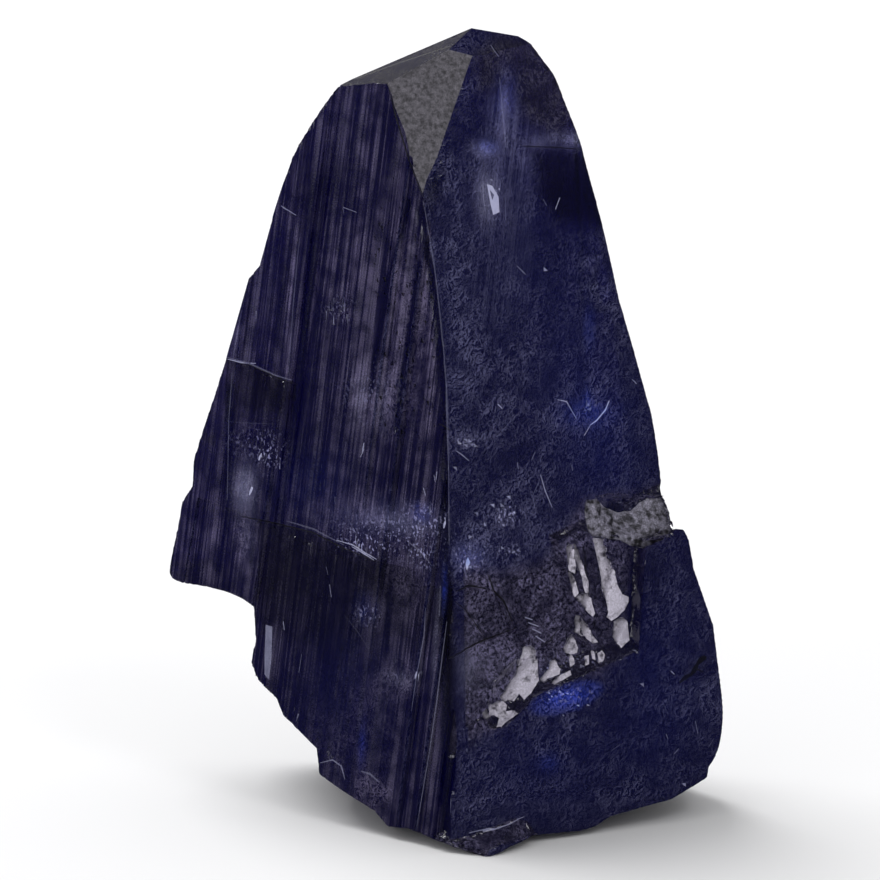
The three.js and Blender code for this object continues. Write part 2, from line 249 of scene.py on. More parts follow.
highlightHole = [(2.45, 34.7), (2.7, 34.4), (2.6, 34.1)]

# Pale break faces: the way each one looks, how deep its middle lies in mm, and its outline
breakFaces = {
    "paleShellTop": ((-0.35, -0.75, 0.55), 0.16, [
        (4.4, 9.2), (4.75, 9.25), (5.05, 9.0), (5.1, 8.45), (5.2, 7.4), (5.05, 7.15), (4.75, 6.7),
        (4.4, 6.35), (4.1, 6.65), (3.8, 6.25), (3.45, 6.35), (3.3, 6.25), (3.1, 6.45), (3.4, 6.8),
        (3.65, 7.3), (4.0, 7.75), (4.15, 8.45), (4.3, 8.8)]),
    "paleShellFoot": ((-0.2, -0.7, 0.68), 0.1, [
        (2.1, 5.55), (2.4, 5.9), (2.9, 6.2), (3.2, 6.2), (3.4, 6.0), (3.35, 5.65), (3.8, 5.7), (4.0, 5.55),
        (3.65, 5.3), (3.35, 5.1), (3.1, 4.85), (2.9, 4.85), (3.0, 5.3), (2.7, 5.5), (2.25, 5.3)]),
    "sliverA": ((-0.55, -0.75, 0.35), 0.08, [
        (6.8, 14.8), (7.1, 14.95), (7.25, 13.75), (7.2, 13.4), (6.95, 13.55), (6.85, 14.3)]),
    "sliverB": ((-0.55, -0.75, 0.35), 0.08, [
        (6.9, 13.4), (7.2, 13.15), (7.4, 12.25), (7.25, 12.1), (7.1, 12.5)]),
    "sliverC": ((-0.55, -0.75, 0.35), 0.08, [
        (7.15, 15.0), (7.3, 14.85), (7.6, 13.9), (7.95, 12.9), (8.0, 12.25), (7.85, 12.3), (7.65, 13.15),
        (7.4, 13.9), (7.2, 14.5)]),
    "sliverD": ((-0.5, -0.75, 0.42), 0.1, [
        (7.45, 12.0), (7.95, 12.25), (8.15, 11.75), (8.35, 11.1), (8.25, 10.95), (8.05, 11.15), (7.8, 11.5),
        (7.55, 11.85)]),
    "wideSliver": ((-0.6, -0.72, 0.35), 0.12, [
        (8.3, 15.3), (8.8, 15.3), (8.9, 14.85), (9.1, 14.1), (9.4, 13.45), (9.6, 12.7), (9.9, 12.15),
        (10.25, 12.0), (10.25, 11.75), (10.0, 11.3), (9.65, 10.95), (9.3, 10.7), (9.05, 10.9), (9.15, 11.2),
        (9.05, 11.75), (8.8, 12.5), (8.75, 13.15), (8.6, 14.0), (8.4, 14.75)]),
    "stairChip": ((-0.4, -0.75, 0.5), 0.12, [
        (9.5, 10.6), (9.9, 10.8), (10.15, 10.65), (10.25, 10.0), (10.3, 9.6), (10.05, 9.4), (9.85, 9.2),
        (9.65, 9.45), (9.4, 9.8), (9.5, 10.1)]),
    "smallTriangle": ((-0.3, -0.8, 0.5), 0.1, [
        (6.7, 9.2), (7.05, 9.85), (7.2, 9.7), (7.4, 9.15), (7.35, 8.9), (7.1, 8.85), (6.75, 8.95)]),
    "sliverE": ((-0.3, -0.8, 0.5), 0.1, [
        (7.55, 10.9), (7.75, 10.65), (8.0, 10.25), (8.25, 9.8), (8.5, 9.5), (8.25, 9.45), (7.95, 9.7),
        (7.65, 10.0), (7.5, 10.45)]),
    "rubble": ((-0.2, -0.75, 0.6), 0.08, [
        (5.3, 7.45), (5.55, 7.75), (5.8, 8.0), (5.9, 8.4), (6.1, 8.5), (6.25, 8.2), (6.4, 8.0),
        (6.35, 7.75), (6.0, 7.6), (5.7, 7.5), (5.5, 7.35)]),
    "bitA": ((-0.2, -0.75, 0.6), 0.06, [
        (7.8, 8.7), (8.0, 8.75), (8.0, 8.3), (7.85, 8.25)]),
    "bitB": ((-0.2, -0.75, 0.6), 0.06, [
        (8.55, 8.85), (8.75, 9.0), (8.9, 8.8), (8.8, 8.45), (8.6, 8.4)]),
    "bitC": ((-0.2, -0.75, 0.6), 0.06, [
        (6.95, 8.5), (7.0, 8.8), (7.15, 8.6), (7.2, 8.3), (7.0, 8.15)]),
    "bitE": ((-0.2, -0.75, 0.6), 0.06, [
        (8.15, 8.95), (8.25, 9.05), (8.35, 8.8), (8.35, 8.55), (8.25, 8.6)]),
    "rubbleFoot": ((-0.2, -0.75, 0.6), 0.06, [
        (5.95, 7.3), (6.45, 7.65), (6.95, 7.9), (7.0, 7.7), (6.5, 7.4), (6.1, 7.2)]),
    "frostedLedge": ((0.45, -0.82, 0.35), 0.03, [
        (7.8, 16.85), (7.9, 17.4), (8.45, 17.5), (8.9, 17.0), (9.6, 16.7), (10.4, 16.8), (10.9, 17.25),
        (11.5, 17.5), (12.1, 17.5), (12.5, 16.9), (12.65, 16.0), (12.45, 15.5), (12.1, 15.2),
        (11.45, 14.95), (10.95, 14.85), (10.4, 14.95), (9.75, 15.25), (9.0, 15.35), (8.25, 15.45),
        (7.95, 15.9)]),
    "sliverF": ((-0.4, -0.8, 0.4), 0.08, [
        (7.3, 10.95), (7.5, 10.9), (7.55, 10.25), (7.8, 9.9), (7.6, 9.85), (7.3, 10.1)]),
}

# Painted sheen: how much lighter each part of the stone's skin is painted: place on the front map, half sizes,
# lean, strength
sheenSpots = [
    (-5.4, 30.5, 1.7, 4.4, 0.12, 0.3), (-2.8, 27.5, 0.55, 6.0, 0.1, 0.75),
    (-1.25, 27.5, 0.5, 6.0, 0.06, 0.75), (-4.7, 23.5, 0.5, 1.5, 0.1, 0.8), (-3.5, 22.9, 0.5, 1.6, 0.1, 0.8),
    (-11.3, 18.0, 0.5, 1.2, 0.05, 1.2), (-3.6, 16.6, 2.6, 1.2, -0.4, 0.55),
    (-13.5, 15.5, 1.1, 1.8, 0.1, 0.35), (-11.3, 15.0, 0.7, 1.4, 0.05, 0.6), (-2.5, 7.4, 1.0, 0.6, 0.0, 0.5),
    (-4.2, 6.4, 1.4, 0.9, 0.0, 0.2), (-4.2, 1.2, 1.3, 1.1, 0.0, 0.45), (-2.6, 12.2, 1.6, 1.8, 0.0, 0.4),
    (-4.2, 37.0, 1.6, 3.0, 0.1, 0.12), (-8.6, 34.0, 0.5, 3.5, 0.2, 0.25), (0.8, 34.5, 1.3, 3.5, 0.0, 0.35),
    (3.3, 39.3, 0.7, 2.2, 0.0, 0.5), (2.5, 34.5, 0.7, 1.4, 0.0, 0.8), (0.7, 27.0, 0.8, 6.0, 0.0, 0.3),
    (1.4, 20.8, 0.8, 0.6, 0.0, 0.3), (3.0, 15.8, 2.0, 1.2, 0.0, 0.35), (1.4, 14.6, 1.1, 0.8, 0.0, 0.8),
    (4.4, 36.3, 1.0, 1.0, 0.0, 0.4), (7.2, 37.6, 0.5, 0.4, 0.0, 0.8), (5.2, 37.4, 0.5, 0.3, 0.0, 0.7),
    (5.0, 24.0, 2.6, 4.0, 0.0, 0.08), (-4.3, 24.0, 2.2, 1.5, 0.0, 0.2),
]
# Painted shade: darker parts of the skin, given the same way
shadeSpots = [
    (-11.9, 20.0, 1.1, 2.2, 0.1, 0.1), (-0.1, 26.0, 0.35, 5.0, -0.05, 0.1),
    (9.0, 20.0, 1.2, 6.0, -0.25, 0.06), (-8.2, 20.0, 1.8, 3.0, 0.1, 0.15), (-6.8, 9.0, 2.0, 4.0, 0.0, 0.16),
    (-9.5, 30.0, 1.2, 3.0, 0.25, 0.14), (-7.5, 13.3, 1.8, 1.6, 0.0, 0.2), (-9.6, 23.0, 1.2, 1.2, 0.0, 0.15),
    (-6.5, 34.5, 1.2, 2.5, 0.15, 0.12), (10.6, 12.4, 0.4, 3.4, 0.0, 0.45), (3.0, 10.8, 1.8, 1.0, 0.0, 0.12),
    (-5.4, 6.8, 2.6, 2.6, 0.0, 0.16), (-14.2, 15.2, 1.5, 2.6, 0.0, 0.12), (11.5, 9.5, 1.6, 2.0, 0.0, 0.08),
    (12.0, 9.0, 2.4, 4.0, 0.0, 0.08), (9.4, 17.0, 0.8, 0.4, 0.0, 0.3), (5.6, 39.5, 0.8, 1.0, 0.0, 0.2),
]
# Upright columns of the striated face, painted darker as shade in the grooves or lighter as sheen: points on
# the front map, half width, strength
columns = [
    ([(-7.36, 32.6), (-7.8, 28.0), (-8.3, 22.0)], 0.22, -0.8),
    ([(-2.0, 34.0), (-3.16, 30.1), (-3.95, 25.1), (-4.1, 23.6)], 0.15, -1.3),
    ([(-1.45, 30.6), (-2.44, 24.2), (-2.75, 21.3)], 0.14, -1.3),
    ([(-1.4, 33.6), (-0.87, 30.3), (-0.53, 27.6), (-0.1, 23.1), (0.0, 17.2)], 0.2, -1.4),
    ([(0.0, 17.2), (0.2, 9.9), (0.25, -1.0)], 0.36, -1.3),
    ([(-2.35, 33.0), (-3.45, 29.8), (-4.25, 25.1)], 0.12, 0.4), ([(-1.75, 30.2), (-2.75, 24.2)], 0.1, 0.35),
    ([(-1.2, 29.5), (-0.75, 24.5), (-0.9, 21.0)], 0.28, 0.3),
    ([(-8.3, 32.8), (-8.75, 28.0), (-8.9, 24.6)], 0.13, 0.5),
    ([(-12.2, 24.0), (-12.2, 17.0), (-12.8, 13.5)], 0.2, -0.6), ([(-11.0, 13.6), (-10.6, 19.0)], 0.2, -0.5),
    ([(-0.7, 11.4), (-1.2, 7.7), (-1.9, 5.7)], 0.12, 0.4),
    ([(-1.6, 13.4), (-2.0, 10.0), (-2.3, 7.0)], 0.18, 0.35), ([(-3.1, 13.0), (-3.3, 9.0)], 0.14, -0.5),
    ([(-9.1, 29.5), (-9.6, 26.0)], 0.2, -0.4),
]
# Painted glow: where the stone is given a faint blue emission, as if lit from inside
glowSpots = [
    (-7.3, 18.3, 2.2, 2.0, 0.0, 0.07), (8.4, 21.5, 2.4, 4.5, -0.2, 0.09), (5.5, 2.5, 4.0, 3.0, 0.0, 0.05),
    (-5.5, 6.5, 3.0, 5.0, 0.0, 0.05), (12.0, 7.0, 2.5, 5.0, 0.0, 0.06), (5.5, 30.0, 3.5, 5.0, 0.0, 0.02),
    (2.3, 37.0, 0.5, 0.35, 0.0, 0.55), (5.75, 2.77, 0.5, 0.45, 0.0, 0.22),
    (-3.7, 16.4, 2.4, 0.9, -0.4, 0.1), (8.0, 27.0, 0.22, 1.1, 0.0, 0.25),
    (7.95, 23.2, 0.16, 0.5, 0.0, 0.35), (8.0, 22.3, 1.3, 0.7, 0.0, 0.3), (1.3, 14.3, 0.9, 0.7, 0.0, 0.25),
    (-4.7, 3.7, 0.2, 1.0, 0.05, 0.3), (-0.1, 12.6, 0.12, 1.0, 0.0, 0.5),
    (-4.5, 11.4, 0.5, 0.35, -0.4, 0.35), (-1.4, 16.6, 0.5, 0.4, 0.0, 0.4), (3.4, 40.0, 0.6, 1.4, 0.0, 0.22),
]
# Painted milky light, standing in for light from cracks that lie just under the skin
milkyLightSpots = [
    (-11.3, 18.0, 0.55, 1.15, 0.05, 1.15), (-11.2, 15.2, 0.5, 1.3, 0.05, 0.2),
    (2.35, 34.3, 0.55, 1.2, 0.0, 0.9), (2.1, 36.9, 0.6, 0.42, 0.0, 0.95),
    (-0.55, 9.6, 0.13, 2.6, 0.05, 0.35), (1.2, 8.0, 0.45, 1.5, 0.0, 0.32),
    (-3.2, 16.4, 2.4, 0.7, -0.3, 0.25), (6.3, 37.6, 1.4, 0.35, 0.0, 0.35),
    (-4.75, 23.4, 0.35, 1.2, 0.1, 0.3), (-3.5, 22.8, 0.4, 1.4, 0.1, 0.25), (1.4, 14.4, 0.9, 0.5, 0.0, 0.35),
    (-2.3, 16.3, 1.6, 0.5, -0.3, 0.35), (7.2, 37.6, 0.5, 0.35, 0.0, 0.45),
    (5.2, 37.3, 0.6, 0.25, 0.0, 0.35), (-2.5, 7.5, 0.7, 0.4, 0.0, 0.25), (3.3, 39.0, 0.22, 1.6, 0.0, 0.6),
    (3.9, 38.6, 0.16, 1.2, 0.0, 0.3), (2.2, 8.2, 1.6, 1.5, 0.0, 0.12), (2.1, 34.6, 0.22, 1.5, 0.0, 0.22),
    (3.6, 33.5, 0.25, 2.0, 0.0, 0.16), (1.5, 8.2, 1.0, 1.0, 0.0, 0.12),
]
# Painted glitter: where the skin is given sparkles too small to cut
glitterSpots = [
    (-2.8, 15.9, 2.6, 0.8, -0.35, 0.9), (-1.2, 16.4, 0.9, 0.5, 0.0, 1.2),
    (-3.8, 14.9, 1.2, 0.4, -0.35, 1.2), (-10.7, 20.7, 1.3, 0.6, 0.0, 0.5), (-9.8, 19.9, 0.6, 0.5, 0.0, 1.2),
    (3.5, 16.7, 0.8, 0.6, 0.0, 0.9), (3.7, 14.6, 0.9, 0.35, 0.0, 0.7), (1.3, 14.2, 0.9, 0.7, 0.0, 0.9),
    (6.9, 6.6, 1.6, 0.5, 0.3, 0.55), (6.0, 8.1, 0.9, 0.5, 0.3, 0.8), (8.1, 8.6, 1.3, 0.35, 0.2, 0.6),
    (-1.4, 14.4, 0.6, 0.6, -0.4, 1.2), (-4.3, 11.1, 0.6, 0.5, 0.0, 0.9), (-4.9, 14.9, 0.9, 0.35, -0.4, 1.0),
    (-5.85, 28.1, 0.8, 0.6, 0.0, 0.4), (-4.2, 23.4, 1.4, 1.4, 0.0, 0.35), (0.9, 20.8, 0.7, 0.5, 0.0, 0.4),
    (-2.6, 7.6, 0.9, 0.4, 0.0, 0.35), (8.1, 22.7, 0.5, 0.4, 0.0, 0.4),
]
# Where the growth lines give way to crumbly grain
crumbSpots = [
    (-10.9, 20.7, 1.6, 1.0, 0.0, 1.0), (-3.2, 15.9, 2.6, 1.3, -0.3, 0.8), (-11.2, 15.2, 0.8, 1.3, 0.0, 0.9),
    (-1.8, 27.5, 0.9, 5.5, 0.05, 0.75), (-3.0, 22.6, 1.4, 2.0, 0.0, 0.6), (-2.4, 12.6, 1.8, 1.6, 0.0, 0.9),
    (-6.5, 12.5, 1.5, 1.4, 0.0, 0.4), (-2.6, 7.4, 1.3, 0.9, 0.0, 0.9), (-5.9, 28.0, 1.0, 0.9, 0.0, 0.6),
    (-4.2, 0.8, 1.2, 1.0, 0.0, 0.9), (-5.6, 5.0, 3.2, 3.6, 0.0, 0.85), (-8.3, 33.5, 1.0, 2.0, 0.2, 0.4),
]
# Painted deep shade: where the stone is painted nearly black
deepShadeSpots = [
    (0.15, 9.8, 0.36, 6.0, -0.02, 1.1), (-0.5, 34.8, 0.45, 2.0, 0.25, 0.45),
    (13.9, 7.95, 0.9, 0.5, 0.6, 0.4), (-3.8, 13.1, 1.2, 1.1, 0.0, 0.6), (-9.6, 13.2, 1.4, 1.5, 0.0, 0.45),
    (-10.1, 23.5, 1.2, 0.9, 0.0, 0.45), (-7.2, 34.8, 1.6, 2.4, 0.15, 0.35),
    (-0.9, 34.4, 0.4, 0.9, 0.3, 0.5), (-6.5, 9.5, 2.0, 2.2, 0.0, 0.3), (5.9, 39.8, 0.9, 0.9, 0.0, 0.35),
    (9.5, 17.0, 0.8, 0.45, 0.0, 0.5), (3.0, 11.0, 1.6, 0.8, 0.0, 0.25), (-8.5, 20.3, 1.2, 0.8, 0.0, 0.25),
    (11.6, 13.0, 0.8, 2.4, 0.0, 0.3), (6.2, 33.3, 1.0, 2.6, 0.0, 0.25),
]
# Painted highlights: small bright outlines, each with its own lightness
starGlint = [(1.15, 13.95), (1.25, 14.3), (1.4, 14.0), (1.25, 13.55)]
litSliver = [(-10.15, 10.4), (-9.75, 10.3), (-9.8, 8.5), (-9.95, 7.3), (-10.2, 7.6), (-10.2, 9.05)]
topField = [(1.2, 41.5), (5.0, 41.5), (8.0, 38.5), (8.0, 36.6), (4.5, 36.0), (4.2, 33.0), (1.2, 33.0)]
litOutlines = [(1.1, highlightPatch), (0.25, highlightHole), (0.66, litSliver), (1.35, starGlint)]    # lightness first
# Painted light: two patches painted a little lighter
litPatches = [(discPatch, 0.22), (scallop, 0.3)]
# Painted shade under the two cracks, fading out downwards
crackShadeFields = [(shadeUnderUpperCrack, 0.6, 21.0), (shadeUnderLowerCrack, 0.5, 8.0)]       # outline, how dim, foot of the fade
# Painted shade: a dark line under the top facets
shadeUnderTop = [(-8.7, 38.2), (-3.2, 40.5), (1.4, 42.3)]            # the dark line under the top facets
# Painted glow: a blue patch that emits light, as if lit from inside
blueGlow = {"centre": (6.75, 6.38), "half": (2.3, 0.86), "turn": 17.0}

# Painted glints: short scratches and edges painted light, with emission, as if they caught the light:
# lightness, width, points on the front map
glintLines = [
    (0.6, 0.06, [(2.5, 42.75), (2.95, 42.1)]), (0.35, 0.1, [(3.0, 40.95), (3.15, 39.3), (3.35, 37.05)]),
    (0.3, 0.06, [(3.55, 39.15), (3.45, 37.05)]), (0.6, 0.05, [(5.45, 34.2), (5.65, 33.85)]),
    (0.9, 0.08, [(6.15, 33.65), (6.4, 34.3)]), (0.5, 0.07, [(3.95, 30.5), (4.25, 30.2), (4.45, 30.0)]),
    (0.3, 0.05, [(3.55, 25.55), (3.45, 24.7), (3.4, 23.95)]), (0.25, 0.05, [(5.25, 25.15), (5.25, 23.7)]),
    (0.9, 0.08, [(2.9, 22.8), (3.15, 22.55)]), (0.3, 0.05, [(2.85, 20.95), (3.35, 21.55), (3.95, 22.2)]),
    (0.8, 0.06, [(6.25, 23.05), (6.75, 22.95), (7.3, 22.0)]),
    (1.0, 0.08, [(9.15, 23.0), (8.95, 22.5), (8.45, 21.9), (8.1, 21.65)]),
    (0.7, 0.05, [(7.9, 23.05), (7.85, 22.6)]), (0.8, 0.08, [(8.1, 21.65), (7.75, 21.05)]),
    (0.3, 0.05, [(7.8, 23.75), (7.9, 23.05)]), (0.8, 0.06, [(10.45, 24.2), (10.7, 23.95)]),
    (0.7, 0.06, [(0.6, 20.2), (0.9, 20.0), (1.3, 19.65)]), (0.6, 0.06, [(4.8, 19.7), (5.0, 20.15)]),
    (0.6, 0.07, [(4.0, 19.55), (4.05, 19.2)]), (0.6, 0.06, [(7.05, 19.4), (7.1, 19.1)]),
    (0.8, 0.05, [(5.3, 18.85), (5.55, 18.0), (5.95, 17.05)]),
    (0.35, 0.05, [(5.3, 18.7), (4.85, 17.7), (5.05, 16.75)]), (0.8, 0.07, [(12.65, 7.85), (12.85, 7.65)]),
    (0.4, 0.05, [(13.35, 5.9), (13.25, 5.55)]), (0.6, 0.05, [(14.05, 5.0), (14.2, 4.3)]),
    (0.6, 0.06, [(12.4, 4.3), (12.5, 4.0)]), (0.6, 0.06, [(13.1, 3.45), (12.85, 3.15)]),
    (0.4, 0.05, [(15.1, 4.0), (14.8, 3.5)]), (0.35, 0.05, [(8.3, 4.75), (8.5, 5.05)]),
    (0.35, 0.05, [(9.3, 3.4), (9.75, 3.7)]), (0.7, 0.07, [(-9.2, 33.9), (-9.0, 33.75), (-8.35, 33.35)]),
    (0.7, 0.07, [(-5.7, 33.75), (-4.95, 33.45)]), (0.5, 0.05, [(-5.7, 33.75), (-5.65, 33.35)]),
    (0.9, 0.07, [(-12.25, 25.35), (-11.45, 25.15), (-10.65, 25.1)]),
    (0.9, 0.07, [(-5.25, 14.85), (-4.7, 14.55), (-4.0, 14.1)]),
    (0.45, 0.08, [(-2.15, 15.2), (-1.45, 14.65), (-0.75, 13.8)]),
    (0.8, 0.07, [(-1.25, 18.15), (-1.15, 17.7)]), (0.8, 0.05, [(-0.65, 18.85), (-0.6, 18.5)]),
    (0.8, 0.07, [(-4.55, 20.3), (-4.75, 19.85)]), (0.4, 0.05, [(-5.55, 20.7), (-5.7, 19.7)]),
    (0.6, 0.09, [(-6.5, 12.7), (-6.4, 12.0)]), (0.5, 0.06, [(-6.7, 13.7), (-6.6, 13.25)]),
    (0.25, 0.05, [(-5.65, 11.0), (-4.9, 10.05), (-4.25, 9.05)]),
    (0.35, 0.26, [(-9.9, 10.1), (-10.0, 8.75), (-10.1, 7.4)]), (0.8, 0.07, [(-9.15, 10.6), (-9.1, 10.1)]),
    (0.5, 0.07, [(-8.1, 8.75), (-8.25, 7.7)]),
    (0.48, 0.06, [(-1.1, 11.45), (-1.2, 9.9), (-1.6, 7.7), (-1.9, 5.7)]),
    (0.5, 0.06, [(0.05, 10.7), (-0.2, 8.75), (-0.5, 6.25), (-0.9, 3.45), (-1.6, -0.8)]),
    (0.35, 0.12, [(-0.3, 12.7), (-0.35, 11.0)]),
    (0.6, 0.08, [(-7.05, 2.65), (-6.35, 2.85), (-5.85, 2.5), (-5.65, 1.75)]),
    (0.45, 0.12, [(-4.75, 2.25), (-4.25, 2.1), (-3.7, 1.65)]), (0.5, 0.06, [(0.3, 0.8), (0.25, -0.05)]),
    (0.7, 0.08, [(1.3, -1.1), (2.75, -0.8), (4.4, -0.25)]),
    (0.25, 0.05, [(-12.3, 21.85), (-10.95, 21.75), (-9.55, 21.7)]),
    (0.75, 0.12, [(4.5, 10.9), (4.95, 10.75)]), (0.75, 0.12, [(4.7, 10.6), (5.2, 10.4)]),
    (0.75, 0.12, [(4.9, 10.25), (5.4, 10.0)]), (0.7, 0.12, [(5.1, 9.85), (5.6, 9.5)]),
    (0.4, 0.06, [(-11.45, 28.1), (-11.75, 26.5), (-11.95, 25.4)]),
    (0.35, 0.06, [(-8.15, 32.1), (-8.5, 28.65), (-8.8, 24.6)]),
    (0.4, 0.06, [(-12.0, 24.6), (-12.2, 21.9), (-12.3, 17.45)]), (0.4, 0.05, [(0.35, 29.2), (0.2, 29.5)]),
    (0.38, 0.1, [(-1.25, 34.0), (-0.65, 30.6), (-0.3, 27.6), (0.05, 23.5), (0.15, 19.6), (0.2, 15.0)]),
    (1.1, 0.1, [(-10.5, 19.65), (-10.45, 19.85), (-10.35, 20.05)]),
    (1.2, 0.13, [(-11.05, 17.7), (-10.95, 17.95), (-10.85, 18.15)]),
    (1.1, 0.1, [(-1.7, 7.5), (-1.65, 7.7), (-1.6, 7.9)]),
    (1.0, 0.12, [(-0.15, 15.9), (-0.1, 16.2), (-0.1, 16.5)]),
    (0.8, 0.08, [(-4.65, 20.05), (-4.6, 20.35), (-4.55, 20.65)]),
    (0.8, 0.08, [(-0.55, 18.6), (-0.5, 19.05)]),
    (0.85, 0.08, [(-6.1, 15.2), (-5.2, 14.95), (-4.4, 14.45), (-3.85, 14.15)]),
    (0.45, 0.09, [(-12.3, 25.45), (-11.0, 25.1), (-9.6, 24.45), (-8.6, 24.15)]),
    (0.4, 0.1, [(-8.9, 16.25), (-7.5, 15.85), (-5.7, 14.95)]),
    (0.5, 0.05, [(2.1, 34.9), (2.1, 34.2), (2.2, 33.6)]), (0.4, 0.05, [(3.3, 34.6), (3.35, 33.0)]),
]
# Dark cracks, the same way
crackLines = [
    (0.9, 0.07, [(-12.3, 25.35), (-10.8, 24.95), (-9.2, 24.2), (-8.4, 23.95)]),
    (0.9, 0.08, [(-11.5, 16.5), (-10.1, 16.25), (-7.5, 15.65), (-5.65, 14.75), (-3.9, 14.05)]),
    (0.9, 0.1, [(0.25, 8.7), (1.95, 9.55), (3.9, 10.3)]),
    (0.9, 0.12, [(2.4, 13.3), (2.75, 12.4), (3.3, 11.85), (3.8, 10.7)]),
    (1.0, 0.34, [(14.65, 8.65), (14.4, 8.5), (14.15, 8.25)]),
    (1.0, 0.3, [(14.2, 8.3), (14.0, 7.9), (13.8, 7.6)]),
    (1.0, 0.26, [(13.85, 7.65), (13.5, 7.5), (13.15, 7.2)]), (0.9, 0.16, [(14.05, 8.0), (14.5, 7.75)]),
    (0.8, 0.08, [(4.15, 37.15), (6.15, 37.1), (8.1, 37.0)]), (0.9, 0.12, [(-0.35, 21.7), (0.25, 21.35)]),
    (0.8, 0.1, [(0.55, 12.4), (1.35, 12.7), (2.3, 12.55)]),
    (0.7, 0.09, [(7.8, 14.9), (8.0, 12.4), (8.45, 10.15)]),
    (0.7, 0.09, [(9.3, 10.7), (9.65, 11.95), (10.2, 12.5)]),
    (0.7, 0.08, [(5.3, 9.25), (5.95, 9.6), (6.4, 10.3)]),
    (0.6, 0.08, [(0.55, 11.85), (1.35, 11.15), (2.4, 9.6)]),
    (0.8, 0.09, [(-3.15, 40.3), (-2.75, 38.7), (-2.0, 36.2), (-1.25, 34.25)]),
    (0.7, 0.08, [(-5.05, 40.85), (-2.55, 41.75), (0.25, 42.65)]),
]
# Painted glints: flecks painted light, standing in for light thrown back by cracks under the skin: centre,
# half sizes, how many, lightness
fleckSpots = [
    (-5.85, 28.1, 0.65, 0.45, 14, 0.55), (-9.75, 20.0, 0.45, 0.35, 7, 0.7), (1.15, 20.8, 0.55, 0.3, 9, 0.6),
    (3.5, 16.65, 0.75, 0.65, 16, 0.75), (3.7, 14.65, 0.75, 0.35, 12, 0.6), (1.35, 14.3, 0.8, 0.65, 16, 0.6),
    (-1.3, 16.5, 0.5, 0.45, 10, 0.7), (-1.45, 14.5, 0.55, 0.55, 10, 0.6), (-4.35, 11.1, 0.45, 0.35, 9, 0.6),
    (-4.8, 15.2, 0.55, 0.45, 9, 0.6), (6.75, 6.4, 1.1, 0.5, 16, 0.9), (-2.55, 7.55, 0.8, 0.45, 9, 0.35),
    (8.1, 22.6, 0.45, 0.45, 5, 0.5), (-4.1, 0.9, 0.65, 0.8, 10, 0.3), (2.5, 34.65, 0.3, 0.8, 6, 0.8),
    (2.4, 6.8, 1.0, 0.9, 14, 0.3), (9.75, 16.6, 1.8, 0.9, 30, 0.4), (1.35, 4.85, 0.55, 1.1, 9, 0.35),
    (-10.65, 20.8, 1.1, 0.55, 8, 0.25), (-6.45, 17.45, 1.4, 1.4, 8, 0.3),
]
# Single painted glints: place and lightness
loneFlecks = [
    (5.45, 30.2, 0.7), (0.65, 19.25, 0.7), (1.8, 16.75, 0.9), (10.55, 9.1, 0.9), (11.0, 7.05, 0.6),
    (13.35, 1.45, 0.6), (-10.6, 28.05, 0.9), (-10.45, 19.85, 1.6), (-10.95, 17.95, 1.8), (-1.65, 7.7, 1.4),
    (7.55, 8.3, 0.8), (-8.3, 5.2, 0.6), (-6.8, 3.6, 0.5),
]
# Rims of the flecks: least and largest area of the face in mm2, and how far the rim comes in
fleckRims = ((0.0, 0.03, 0.03), (0.03, 0.06, 0.055), (0.06, 1.0, 0.085))


# Breaks along a striated face and how deep each lies
def striationBreaks(low, high, widths, rng):
    breaks, depths = [low], [0.0]
    while breaks[-1] < high:
        breaks.append(breaks[-1] + rng.uniform(*widths) * rng.choice((0.6, 1.0, 1.0, 1.6)))
        depths.append(rng.random() ** 1.5 if len(depths) % 2 else rng.random() * 0.25)
    return breaks, depths


# The faces that look to the front, kept in squares of the front map so that a small cut stays quick
class FrontFaces:
    side = 1.0

    def __init__(self, faces):
        self.squares = {}
        self.add(faces)

    def square(self, x, v):
        return math.floor(x / self.side), math.floor(v / self.side)

    def add(self, faces):
        for f in faces:
            self.squares.setdefault(self.square(*onMap(*f.calc_center_median())), set()).add(f)

    def near(self, corners, margin=0.6):
        xs, vs = zip(*corners)
        lowX, lowV = self.square(min(xs) - margin, min(vs) - margin)
        highX, highV = self.square(max(xs) + margin, max(vs) + margin)
        found = set()
        for i in range(lowX, highX + 1):
            for j in range(lowV, highV + 1):
                kept = {f for f in self.squares.get((i, j), ()) if f.is_valid}
                self.squares[(i, j)] = kept
                found |= kept
        return found


# Cuts an outline drawn on the front map into the skin and returns the faces inside it
def cutOutline(bm, front, corners):
    close = front.near(corners)
    for (ax, av), (bx, bv) in zip(corners, corners[1:] + corners[:1]):
        start, end = Vector((ax, 0, 0)) + mapRise * av, Vector((bx, 0, 0)) + mapRise * bv
        along = end - start
        span = along.length
        along.normalize()
        side = along.cross(mapInward)
        across = []
        for f in close:
            reach = [(v.co - start).dot(side) for v in f.verts]
            lie = [(v.co - start).dot(along) for v in f.verts]
            if min(reach) < -hair and max(reach) > hair and max(lie) > hair and min(lie) < span - hair:
                across.append(f)
        if across:
            made = cutFaces(bm, across, start, side)
            close.update(made)
            front.add(made)
    close = [f for f in close if f.is_valid]
    return only(close, inField(close, corners))


# Cuts the outline of one break face into the stone, sinks it and turns it to its own direction
def sinkBreakFace(bm, zone, front, faces, deep, corners, finish):
    chosen = cutOutline(bm, front, corners)
    if not chosen:
        return
    middle = sum((f.calc_center_median() for f in chosen), Vector()) / len(chosen)
    made = bmesh.ops.extrude_face_region(bm, geom=chosen)["geom"]
    moved = [g for g in made if isinstance(g, bmesh.types.BMVert)]
    newFaces = [g for g in made if isinstance(g, bmesh.types.BMFace)]
    bmesh.ops.delete(bm, geom=chosen, context="FACES")
    normal = Vector(faces).normalized()
    middle = middle + mapInward * deep
    for v in moved:
        sink = (middle - v.co).dot(normal) / mapInward.dot(normal)
        v.co = v.co + mapInward * min(max(sink, leastSink), mostSink)
    for f in newFaces:
        f[zone] = finish
    front.add(newFaces)


